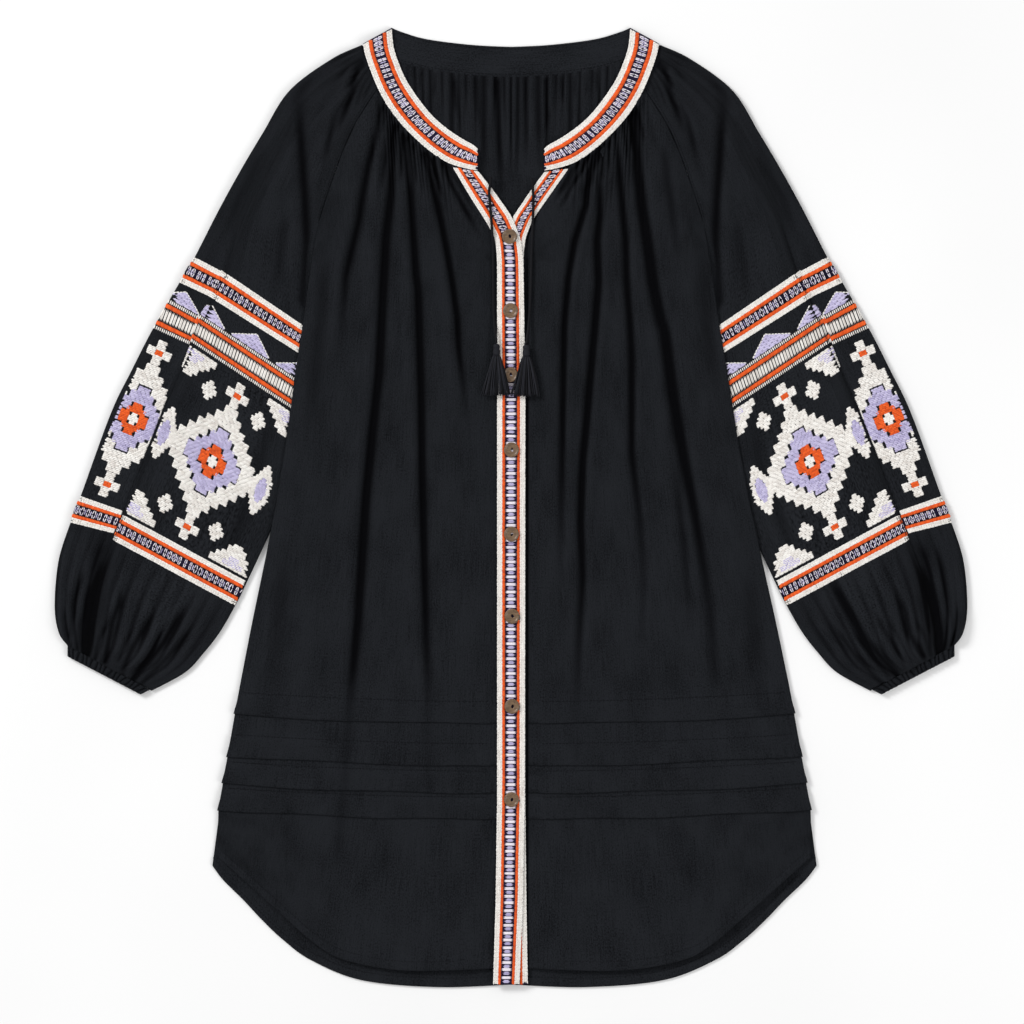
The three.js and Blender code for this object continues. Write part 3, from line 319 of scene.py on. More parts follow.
# ---------------------------------------------------------------- meshes
def place_object(name: str, mesh: bpy.types.Mesh, finish: bpy.types.Material) -> bpy.types.Object:
    """Puts a mesh in the scene as a piece of the tunic.

    Args:
        name: Name of the piece.
        mesh: Its mesh, in metres.
        finish: Its material.

    Returns:
        The new object.
    """
    mesh.name = name
    mesh.materials.clear()
    mesh.materials.append(finish)
    piece = bpy.data.objects.new(name, mesh)
    bpy.context.scene.collection.objects.link(piece)
    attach(piece, "root")
    return piece


def write_points(mesh: bpy.types.Mesh, points: Array) -> None:
    """Moves a mesh's points to new places, given in millimetres."""
    mesh.vertices.foreach_set("co", (np.asarray(points, float).reshape(-1, 3) * MM).ravel())
    mesh.update()


def write_value(mesh: bpy.types.Mesh, name: str, values: Array) -> None:
    """Stores one number for each point of a mesh under a name."""
    layer = mesh.attributes.new(name, "FLOAT", "POINT")
    layer.data.foreach_set("value", np.asarray(values, np.float32).ravel())


@dataclass
class ClothSheet:
    """A piece of cloth woven from rows of points, with its lay on the bolt as its UV map.

    Attributes:
        name: Name of the piece.
        points: Rows of columns of points on the upper face.
        flat: The same points on the flat cut cloth.
        wall: Thickness of the cloth, laid below the points.
        hollow: How deep in a crease each point lies, from 0 to 1; the crepe's colour is darkened by
            it there as painted shade.
    """

    name: str
    points: Array
    flat: Array
    wall: float = 0.6
    hollow: Array | None = None

    def build(self, finish: bpy.types.Material) -> bpy.types.Object:
        """Makes the piece and gives it its wall.

        Args:
            finish: Its material.

        Returns:
            The finished object.
        """
        rows, columns = self.points.shape[:2]
        sheet = bmesh.new()
        bmesh.ops.create_grid(sheet, x_segments=columns - 1, y_segments=rows - 1, size=0.5)
        mesh = bpy.data.meshes.new(self.name)
        sheet.to_mesh(mesh)
        sheet.free()
        start = np.empty(len(mesh.vertices) * 3)
        mesh.vertices.foreach_get("co", start)
        start = start.reshape(-1, 3)
        column = np.rint((start[:, 0] + 0.5) * (columns - 1)).astype(int)
        row = np.rint((0.5 - start[:, 1]) * (rows - 1)).astype(int)
        write_points(mesh, self.points[row, column])
        corner = np.empty(len(mesh.loops), dtype=np.int32)
        mesh.loops.foreach_get("vertex_index", corner)
        layer = mesh.uv_layers.new(name="UVMap")
        lay = self.flat[row, column] * MM
        layer.data.foreach_set("uv", lay[corner].ravel())
        # Painted shade: the hollow values darken the crepe's colour in creases and gather troughs.
        if self.hollow is not None:
            write_value(mesh, "hollow", self.hollow[row, column])
        if self.faces_down(mesh):
            mesh.flip_normals()
        mesh.shade_smooth()
        piece = place_object(self.name, mesh, finish)
        wall = piece.modifiers.new("wall", "SOLIDIFY")
        wall.thickness = self.wall * MM
        wall.offset = -1
        return piece

    def faces_down(self, mesh: bpy.types.Mesh) -> bool:
        """Whether most of the cloth's upper third faces the table.

        Args:
            mesh: The mesh.

        Returns:
            True if it faces the table.
        """
        area = np.empty(len(mesh.polygons))
        normal = np.empty(len(mesh.polygons) * 3)
        middle = np.empty(len(mesh.polygons) * 3)
        mesh.polygons.foreach_get("area", area)
        mesh.polygons.foreach_get("normal", normal)
        mesh.polygons.foreach_get("center", middle)
        high = middle[2::3] > np.quantile(middle[2::3], 0.6)
        return float((area * normal[2::3])[high].sum()) < 0


def drop_surface(piece: bpy.types.Object) -> BVHTree:
    """The upper face of a cloth piece, to set stitches on.

    Args:
        piece: The cloth piece.

    Returns:
        The surface.
    """
    mesh = piece.data
    points = [vertex.co.copy() for vertex in mesh.vertices]
    return BVHTree.FromPolygons(points, [tuple(face.vertices) for face in mesh.polygons])


def drop_height(surface: BVHTree, x: Array, y: Array, missing: float) -> Array:
    """Height of the topmost cloth under points.

    Args:
        surface: The cloth.
        x: Places across, in millimetres.
        y: Places up the garment, in millimetres.
        missing: Height given where there is no cloth.

    Returns:
        The heights, in millimetres.
    """
    down = Vector((0, 0, -1))
    heights = np.full(len(x), missing)
    for k, (across, up) in enumerate(zip(x, y)):
        hit = surface.ray_cast(Vector((across * MM, up * MM, 0.1)), down)[0]
        if hit is not None:
            heights[k] = hit.z / MM
    return heights


# ---------------------------------------------------------------- where the cloth creases
FRONT_CREASES = {
    LEFT: (
        Crease(((128, 397.5), (132, 378.5), (142, 342.5), (147, 316.5), (152, 285.5), (160, 251.5),
                (165, 230.5), (169, 175.5), (175, 134.5)), 2.4, 4.6),
        Crease(((120, 388.5), (124, 360.5), (129, 324.5), (133, 291.5)), 2.2, 3.4),
        Crease(((113, 377.5), (117, 347.5), (120, 311.5), (125, 269.5), (128, 216.5), (132, 134.5),
                (138, 81.5), (145, 11.5), (149, -49.5), (153, -111.5), (159, -173.5),
                (165, -260), (172, -340)), 3.1, 5.6, 0.8, 0.5),
        Crease(((103, 367.5), (102, 342.5), (100, 311.5), (98, 277.5), (95, 230.5), (93, 216.5),
                (90, 114.5), (89, 32.5), (87, -49.5), (85, -131.5), (83, -173.5), (82, -300)),
               3.0, 4.8, 0.7, 0.25),
        Crease(((96.5, 360.5), (95, 337.5), (93, 311.5)), 1.7, 2.6),
        Crease(((85, 351.5), (81, 334.5), (77, 316.5), (69, 280.5), (64, 254.5), (59, 225.5),
                (54, 189.5), (52, 155.5), (44, 93.5), (40, 52.5)), 2.9, 3.9),
        Crease(((77, 346.5), (73, 329.5), (67, 300.5)), 1.8, 2.6),
        Crease(((67, 342.5), (59, 321.5), (48, 300.5), (35, 277.5), (25, 264.5)), 2.3, 3.1),
        Crease(((56, 336), (48, 316), (36, 291)), 1.3, 2.3),
        Crease(((108, 372), (109.5, 345), (110, 310)), 1.7, 2.5),
        Crease(((90.5, 356), (89, 330), (86, 300)), 1.5, 2.3),
        Crease(((116, 383), (119, 366), (121, 345)), 1.2, 1.9),
        Crease(((124, 395), (128, 376), (132, 352)), 1.2, 2.0),
        Crease(((81, 350), (77, 338), (74, 322)), 1.1, 1.8),
        Crease(((62, 340), (55, 325), (50, 312)), 1.1, 1.9),
        Crease(((186, 268), (190, 190), (198, 110), (204, 40)), 1.0, 9.0, 0.2),
        Crease(((226, -40), (233, -120), (243, -190)), 0.8, 10.0, 0.1, 0.3),
    ),
    RIGHT: (
        Crease(((121.6, 392), (124, 368.5), (127, 334.7), (131, 301), (137, 264.5), (142, 225.5),
                (150, 186.5), (154, 175.5), (162, 114), (170, 65), (178.5, 20), (189, -38),
                (199, -103), (205, -173)), 3.3, 6.6, 0.8, 0.3),
        Crease(((163, 42), (166, 20), (174, -46), (180.6, -132)), 1.3, 4.2, 0.2),
        Crease(((103, 371), (107, 348), (110, 316.5), (112.5, 290.5), (115, 264.5), (116, 225.5),
                (119, 186.5), (121, 155), (121, 52.5), (129, -13), (133, -70.5), (131, -132)),
               2.5, 4.4, 0.9, 0.2),
        Crease(((94, 360.7), (92, 342.5), (88, 324), (89, 290.5), (86.5, 264.5), (88, 225.5),
                (85, 186.5), (82, 155), (76, 85.5), (72, 44.5), (70, -13), (72, -70.5),
                (68, -140), (66, -250)), 3.0, 4.6, 0.8, 0.2),
        Crease(((88, 355.5), (80, 334.7), (76, 316.5), (75, 301), (64, 264.5), (58, 230.7),
                (54, 186.5), (53.5, 175), (52, 90), (51, 11.5), (49, -111.5)), 2.8, 4.0),
        Crease(((77, 350), (70, 334.7), (59, 316.5), (46, 290.5)), 2.2, 3.0),
        Crease(((67, 342.5), (57, 324), (41, 301)), 1.9, 2.7),
        Crease(((134.6, 402), (142, 368.5), (148, 342.5)), 1.5, 4.6),
        Crease(((127, 397), (131, 378), (135, 356)), 1.6, 2.7),
        Crease(((112, 381), (115, 362), (117.5, 336)), 1.6, 2.4),
        Crease(((98, 366), (99, 345), (99.5, 318)), 1.4, 2.3),
        Crease(((83, 353), (78, 338), (73, 322)), 1.2, 1.9),
        Crease(((119, 388), (121, 372), (123, 350)), 1.1, 1.9),
        Crease(((61, 338), (52, 322), (45, 309)), 1.0, 1.8),
        Crease(((150, 380), (156, 330), (163, 280), (169, 225)), 1.3, 5.5, 0.2),
        Crease(((190, 262), (196, 180), (206, 100)), 1.0, 9.0, 0.2),
        Crease(((236, -60), (244, -130), (250, -190)), 0.8, 10.0, 0.1, 0.3),
    ),
}
BACK_CREASES = (
    Crease(((-56, 426), (-55, 405), (-53.6, 384)), 1.3, 2.4),
    Crease(((-33, 428), (-32.5, 400), (-31, 372)), 1.1, 2.2),
    Crease(((-13, 427), (-12, 368.5), (-9.4, 316.5)), 1.9, 3.4, 1.0, 0.4),
    Crease(((13.7, 428), (15, 394.5), (16, 334.7)), 1.4, 2.6),
    Crease(((34.5, 425.7), (36, 395), (37, 368.5)), 1.2, 2.4),
    Crease(((51, 427), (51.5, 400)), 0.9, 2.0),
    Crease(((64, 428), (65, 405)), 0.9, 2.0),
    Crease(((75, 430), (76, 408)), 0.8, 1.9),
    Crease(((85, 432), (87, 410)), 0.8, 1.9),
    Crease(((-75, 431), (-77, 406)), 0.9, 2.1),
    Crease(((-90, 433), (-93, 410)), 0.8, 2.0),
)
# Seen from the centre line outwards, from the neck end down to the cuff.
SLEEVE_CREASES = (
    Crease(((148, 443), (154, 437.5), (161, 408.5), (169, 386), (177, 368)), 2.2, 3.2),
    Crease(((170, 400), (177, 385.5), (183, 360), (188.6, 336)), 1.6, 3.4),
    Crease(((205, 418), (212, 400), (209, 350.5), (206, 304), (204.5, 263.5), (209, 205.5)),
           2.3, 5.4, 0.1, 0.8),
    Crease(((246, 362), (249.5, 350.5), (272.7, 304), (290, 252)), 1.0, 6.5, 0.1),
    Crease(((148, 452), (160, 446), (176, 436)), 1.1, 1.9),
    Crease(((149, 447), (163, 438), (178, 422)), 1.2, 2.0),
    Crease(((147, 439), (158, 428), (170, 408)), 1.2, 2.0),
    Crease(((145, 434), (154, 420), (163, 398)), 1.1, 1.9),
    Crease(((143, 428), (150, 414), (157, 392)), 1.0, 1.8),
    Crease(((140, 423), (146, 409), (151, 394)), 0.9, 1.7),
    Crease(((151, 456), (166, 450), (186, 441)), 0.9, 1.8),
    Crease(((196, 432), (214, 410), (228, 384)), 0.8, 5.0, 0.2),
    Crease(((222, 300), (232, 240), (240, 190)), 0.9, 7.0, 0.1),
    Crease(((240, 90), (256, 30), (276, -30), (296, -80)), 0.9, 8.0, 0.1),
    Crease(((300, 60), (318, 0), (332, -50)), 0.8, 8.0, 0.1),
)
SLEEVE_END_CREASES = {
    LEFT: (
        Crease(((424, -60), (437, -96.5), (438.5, -127.5)), 1.7, 4.0, 0.1, 1.0),
        Crease(((388, -78), (391, -97), (398, -114), (402, -136), (405, -155)), 2.0, 3.4, 0.1, 1.0),
        Crease(((356, -104), (367, -123), (378, -141), (384.6, -156), (388, -168)),
               1.9, 3.4, 0.1, 1.0),
        Crease(((324, -95), (334, -114), (347, -136), (362.6, -156), (373.6, -167), (378, -174)),
               2.3, 4.4, 0.1, 1.0),
        Crease(((408, -60), (420, -95), (424, -120), (425, -147)), 2.6, 4.6, 0.2, 1.0),
        Crease(((408, -20), (413, -60), (420, -100), (427, -140)), 1.6, 11.0, 0.1, 0.8),
        Crease(((376, -120), (388, -142), (394, -162)), 1.2, 2.2, 0.1, 1.0),
        Crease(((400, -112), (411, -133), (415, -152)), 1.3, 2.3, 0.1, 1.0),
        Crease(((344, -118), (360, -143), (371, -160), (377, -172)), 1.3, 2.4, 0.1, 1.0),
        Crease(((318, -120), (340, -147), (362, -170), (370, -178)), 1.4, 2.8, 0.1, 1.0),
        Crease(((430, -108), (432.5, -126), (433, -143)), 1.2, 2.2, 0.1, 1.0),
        Crease(((446, -100), (444, -122), (440, -139)), 1.1, 2.2, 0.1, 1.0),
    ),
    RIGHT: (
        Crease(((425, -28.5), (431.6, -61.5), (438, -97), (440, -116.5), (440, -138)),
               1.7, 4.2, 0.1, 1.0),
        Crease(((386, -84), (394, -105.5), (398.6, -127.5), (411.8, -149.5)), 1.9, 3.4, 0.1, 1.0),
        Crease(((312, -60), (323.8, -81), (337, -105.5), (354.6, -134), (372, -154), (385, -167)),
               2.3, 5.6, 0.1, 1.0),
        Crease(((410, -64), (423, -100), (428, -125), (428, -146)), 2.5, 4.4, 0.2, 1.0),
        Crease(((409, -24), (415, -64), (422, -102), (429, -140)), 1.6, 11.0, 0.1, 0.8),
        Crease(((362, -102), (374, -126), (387, -147), (394, -162)), 1.6, 2.8, 0.1, 1.0),
        Crease(((376, -110), (387, -131), (400, -155)), 1.2, 2.2, 0.1, 1.0),
        Crease(((404, -112), (413, -130), (419, -149)), 1.2, 2.2, 0.1, 1.0),
        Crease(((322, -118), (342, -146), (364, -170), (372, -177)), 1.5, 2.8, 0.1, 1.0),
        Crease(((340, -122), (358, -147), (377, -170)), 1.2, 2.2, 0.1, 1.0),
        Crease(((433, -104), (435, -124), (434, -142)), 1.1, 2.1, 0.1, 1.0),
        Crease(((447, -96), (446, -120), (441, -138)), 1.1, 2.2, 0.1, 1.0),
    ),
}
# Rows of a tuck from its stitch line down over its fold edge, back under and out below.
TUCK_ROWS = (
    (21, 0.0), (19.6, 0.9), (17.5, 1.3), (14, 1.45), (10, 1.4), (6, 1.5), (2.5, 1.55), (0.6, 1.5),
    (0, 1.15), (0.5, 0.8), (5, 0.72), (12, 0.66), (17, 0.6), (18.3, 0.35), (17.6, 0.05), (13, 0),
    (6, 0), (0, 0),
)


# ---------------------------------------------------------------- body panels
@dataclass
class FrontPanel:
    """One front panel: gathered at the neckband, tucked above the hem.

    Attributes:
        side: LEFT or RIGHT.
        columns: Points across the panel.
        crown: How far the cloth between the seams stands above its lowest place.
        fullness: How much deeper the creases are laid than their tables say.
    """

    side: int
    columns: int = 150
    crown: float = 1.9
    fullness: float = 1.5
    surface: BVHTree | None = None

    def shares(self) -> Array:
        """Shares of the width at the columns, closest together where the cloth is gathered."""
        return np.interp(np.linspace(0, 1, self.columns), (0, 0.1, 0.76, 1), (0, 0.17, 0.66, 1))

    def gathers(self, share: Array, upper: float) -> tuple[Array, Array]:
        """Small folds that run down from the neckband and die away at uneven lengths.

        Args:
            share: Shares of the panel's width.
            upper: Place among the rows above the armhole.

        Returns:
            How strong the gathers are, and the folds from 0 in a trough to 1 on a ridge.
        """
        phase = share * 41 + 0.4 * np.sin(share * 37 + self.side) + self.side * 0.6
        strong = smooth(share, GATHER_FROM - 0.03, GATHER_FROM + 0.05)
        strong = strong * (1 - smooth(share, 0.6, 0.68))
        strong = strong * (0.8 + 0.2 * np.sin(share * 47 + 2))
        length = 0.72 + 0.26 * np.sin(share * 61 + self.side)
        return strong * (1 - smooth(upper / length, 0.1, 1)), np.sin(np.pi * phase) ** 2

    def centre(self, y: Array | float) -> Array:
        """Half width of the centre front edge at a height."""
        return read(CENTRE_FRONT[self.side], y)

    def top(self, share: Array) -> Array:
        """Points of the panel's top edge, from the centre front to the underarm.

        Args:
            share: Shares of the panel's width.

        Returns:
            Half widths and heights.
        """
        edge = np.empty((len(share), 2))
        low = share <= GATHER_FROM
        high = share >= GATHER_TO
        mid = ~(low | high)
        gathers = Route(GATHERED_EDGE + FRONT_RAGLAN[:1])
        edge[low] = by_row(CENTRE_EDGE[self.side], share[low] / GATHER_FROM)
        edge[mid] = gathers.along((share[mid] - GATHER_FROM) / (GATHER_TO - GATHER_FROM))
        edge[high] = by_row(FRONT_RAGLAN, (share[high] - GATHER_TO) / (1 - GATHER_TO))
        return edge

    def level(self, share: Array, y: float, sweep: float, flare: float = 0.0) -> Array:
        """A row of points straight across the panel.

        Args:
            share: Shares of the panel's width.
            y: Height of the row at the centre front.
            sweep: 1 where the row rises towards the side seam as the tucks do.
            flare: How far the row reaches past the side seam.

        Returns:
            Places across and up.
        """
        edge = body_half(y) + flare
        x = self.side * mix(self.centre(y), edge, share) + body_lean(y) * share
        return np.stack([x, y + sweep * TUCK_SWEEP * (x / edge) ** 2], axis=-1)

    def rows(self) -> list[tuple[Array, Array, float, float]]:
        """Rows of the panel from the neck to the hem.

        Returns:
            For each row its points, the height of its step, its lift over the sleeve and its place
            among the rows above the armhole, which is 1 below it.
        """
        share = self.shares()
        top = self.top(share) * (self.side, 1)
        base = self.level(share, BODY_TOP, 0)
        rows = [(mix(top, base, t), share * 0, 3.0 * t, t) for t in np.linspace(0, 1, 52)]
        first = TUCKS[0] + TUCK_DEPTH
        for y in np.linspace(BODY_TOP, first, 57)[1:-1]:
            sweep = float(smooth(-y, -30, -first - 10))
            rows.append((self.level(share, y, sweep), share * 0, float(read(BODY_LIFT, y)), 1.0))
        rows += self.tucks(share)
        rows += self.hem(share)
        return rows

    def tucks(self, share: Array) -> list[tuple[Array, Array, float, float]]:
        """Rows of the four tucks, each laid over and under itself.

        Args:
            share: Shares of the way from the centre to the side.

        Returns:
            Each row's points, step height, lift and share of the way down the top part.
        """
        rows = []
        for k, fold in enumerate(TUCKS):
            limp = 0.8 * np.sin(share * (7 + 2 * k) + k * 1.7) * smooth(share, 0.05, 0.2)
            full = mix(0.35, 1, smooth(share, 0.02, 0.05))
            for drop, height in TUCK_ROWS:
                flare = 1.2 * float(smooth(-drop, -14, 0)) if height > 0.6 else 0.0
                row = self.level(share, fold + drop, 1, flare)
                row[:, 1] += limp * float(smooth(-drop, -16, 0))
                rows.append((row, height * full, 0.0, 1.0))
            below = TUCKS[k + 1] + TUCK_DEPTH if k + 1 < len(TUCKS) else fold
            for y in np.linspace(fold, below, 4 if fold - below < 8 else 7)[1:-1]:
                rows.append((self.level(share, y, 1), share * 0, 0.0, 1.0))
        return rows

    def hem(self, share: Array) -> list[tuple[Array, Array, float, float]]:
        """Rows below the last tuck down to the curved hem.

        Args:
            share: Shares of the way from the centre to the side.

        Returns:
            Each row's points, step height, lift and share of the way down the top part.
        """
        start = self.level(share, TUCKS[-1], 1)
        edge = Route(tuple(reversed(FRONT_HEM))).along(share)
        narrow = (self.centre(edge[:, 1]) - FRONT_HEM[-1][0]) * (1 - share)
        x = self.side * (edge[:, 0] + narrow) + body_lean(edge[:, 1]) * share
        end = np.stack([x, edge[:, 1]], axis=-1)
        drop = np.linalg.norm(end - start, axis=1)
        rows = []
        for t in np.linspace(0, 1, 16)[1:]:
            line = 1 - HEM_WIDTH / np.maximum(drop, 12)
            row = mix(start, end, (line * t)[:, None])
            rows.append((row, share * 0, 0.0, 1.0))
        for t, height in ((0.05, 0.45), (0.3, 0.65), (0.7, 0.65), (0.93, 0.5), (1, 0.15)):
            row = mix(start, end, mix(line, 1, t)[:, None])
            rows.append((row, share * 0 + height, 0.0, 1.0))
        return rows

    def build(self, finish: bpy.types.Material) -> bpy.types.Object:
        """Makes the panel.

        Args:
            finish: Its material.

        Returns:
            The finished object.
        """
        share = self.shares()
        points, flat, hollow = [], [], []
        down = 0.0
        before = None
        for place, step, lift, upper in self.rows():
            half = np.abs(place[:, 0])
            width = mix(62, 182, upper) if upper < 1 else body_half(place[:, 1])
            width = width if upper < 1 else width - self.centre(place[:, 1])
            inward = (1 - share) * width
            closed = mix(UPPER, CLOTH + SEAM, upper)
            rise = smooth(inward, 0, 35)
            ease = 0.9 * smooth(-place[:, 1], 340, 460)
            calm = mix(1, 0.35, smooth(-place[:, 1], 150, 215))
            depth = self.fullness * relief(FRONT_CREASES[self.side], half, place[:, 1]) * calm
            strong, ridge = self.gathers(share, upper)
            # Painted shade: hollow darkens the colour in the creases and in the troughs between the
            # gathers.
            hollow.append(np.clip(-depth / 3.2, 0, 1) + 0.8 * strong * (1 - ridge) ** 3)
            folds = self.crown + depth + strong * (2.6 * ridge - 1.0)
            folds = folds * smooth(share, 0.005, 0.08)
            folds = folds * (smooth(upper, 0.012, 0.06) if upper < 1 else 1)
            cover = lift * (1 - smooth(inward, LIFT_FULL, LIFT_END))
            under = cover + mix(closed, UPPER + folds - ease, rise)
            points.append(np.column_stack([place, np.maximum(under, 1.35) + CLOTH + step]))
            middle = place[len(place) // 2]
            down += 0.0 if before is None else float(np.hypot(*(middle - before)))
            before = middle
            flat.append(np.column_stack([share * 330 * self.side, share * 0 - down]))
        name = f"cloth_front_{SIDES[self.side]}"
        sheet = ClothSheet(name, np.array(points), np.array(flat), hollow=np.array(hollow))
        piece = sheet.build(finish)
        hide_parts(f"front_panel_{SIDES[self.side]}")
        self.surface = drop_surface(piece)
        return piece


@dataclass
class BackPanel:
    """The back panel: gathered to the neckband, with a longer hem than the front's."""

    columns: int = 176
    surface: BVHTree | None = None

    def top(self, share: Array) -> Array:
        """Points of the top edge from the centre to the underarm.

        Args:
            share: Shares of the way from the centre to the underarm.

        Returns:
            The points.
        """
        neck = Route(tuple((low, y) for _, _, low, y in reversed(BACK_BAND)))
        half = share / GATHER_TO * BACK_RAGLAN[0][0]
        gathered = neck.along(np.clip(half / BACK_BAND[0][2], 0, 1)) + (0, UNDERLAP)
        gathered[:, 0] = half
        seam = by_row(BACK_RAGLAN, (share - GATHER_TO) / (1 - GATHER_TO))
        return np.where((share >= GATHER_TO)[:, None], seam, gathered)

    def rows(self, share: Array, side: Array) -> list[tuple[Array, float, float, float]]:
        """Rows from the neck to the hem.

        Args:
            share: Shares of the half width.
            side: Which side each column is on.

        Returns:
            For each row its points, its step, its lift and its place above the armhole.
        """

        def across(y: float) -> Array:
            """A row straight across."""
            x = side * body_half(y) * share + body_lean(y) * share
            return np.stack([x, np.full(len(x), y)], axis=-1)

        top = self.top(share) * np.stack([side, side * 0 + 1], axis=-1)
        base = across(BODY_TOP)
        rows = [(mix(top, base, t), 0.0, 3.0 * t, t) for t in np.linspace(0, 1, 44)]
        for y in np.linspace(BODY_TOP, TUCKS[-1], 46)[1:]:
            rows.append((across(y), 0.0, float(read(BODY_LIFT, y)), 1.0))
        edge = Route(tuple(reversed(BACK_HEM))).along(share)
        end = np.stack([side * edge[:, 0] + body_lean(edge[:, 1]) * share, edge[:, 1]], axis=-1)
        start = rows[-1][0]
        drop = np.maximum(np.linalg.norm(end - start, axis=1), 12)
        line = 1 - HEM_WIDTH / drop
        rows += [(mix(start, end, (line * t)[:, None]), 0.0, 0.0, 1.0)
                 for t in np.linspace(0, 1, 12)[1:]]
        for t, height in ((0.05, 0.45), (0.3, 0.6), (0.7, 0.6), (0.93, 0.45), (1, 0.1)):
            rows.append((mix(start, end, mix(line, 1, t)[:, None]), height, 0.0, 1.0))
        return rows

    def build(self, finish: bpy.types.Material) -> bpy.types.Object:
        """Makes the panel and lays it on the table.

        Args:
            finish: Its material.

        Returns:
            The finished object.
        """
        place = np.linspace(-1, 1, self.columns)
        column = np.sign(place) * np.abs(place) ** 1.15
        share, side = np.abs(column), np.where(column < 0, -1.0, 1.0)
        points, flat, hollow = [], [], []
        for row, step, lift, upper in self.rows(share, side):
            width = mix(150, 199, upper) if upper < 1 else body_half(row[:, 1])
            cover = lift * (1 - smooth((1 - share) * width, LIFT_FULL, LIFT_END))
            phase = (row[:, 0] / 8.7 + 0.2 * np.sin(row[:, 0] * 0.13)
                     + 0.1 * np.sin(row[:, 0] * 0.37))
            ends = 345 - 36 * np.sin(row[:, 0] * 0.21 + 1)
            strong = smooth(row[:, 1] - ends, 0, 62) * (1 - smooth(share, 0.44, 0.58))
            fine = np.sin(np.pi * phase) ** 2
            folds = 1.3 * relief(BACK_CREASES, row[:, 0], row[:, 1])
            # Painted shade: hollow darkens the colour in the creases and in the troughs between the
            # gathers.
            hollow.append(np.clip(-folds / 2.2, 0, 1) + 0.85 * strong * (1 - fine) ** 2)
            high = np.maximum(0.9 + folds + strong * 2.6 * fine, 0)
            high = high * (smooth(upper, 0, 0.03) if upper < 1 else 0)
            points.append(np.column_stack([row, cover + CLOTH + step + high]))
            flat.append(np.column_stack([column * 330, row[:, 1]]))
        sheet = ClothSheet("cloth_back", np.array(points), np.array(flat), hollow=np.array(hollow))
        piece = sheet.build(finish)
        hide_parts("back_panel")
        self.surface = drop_surface(piece)
        return piece


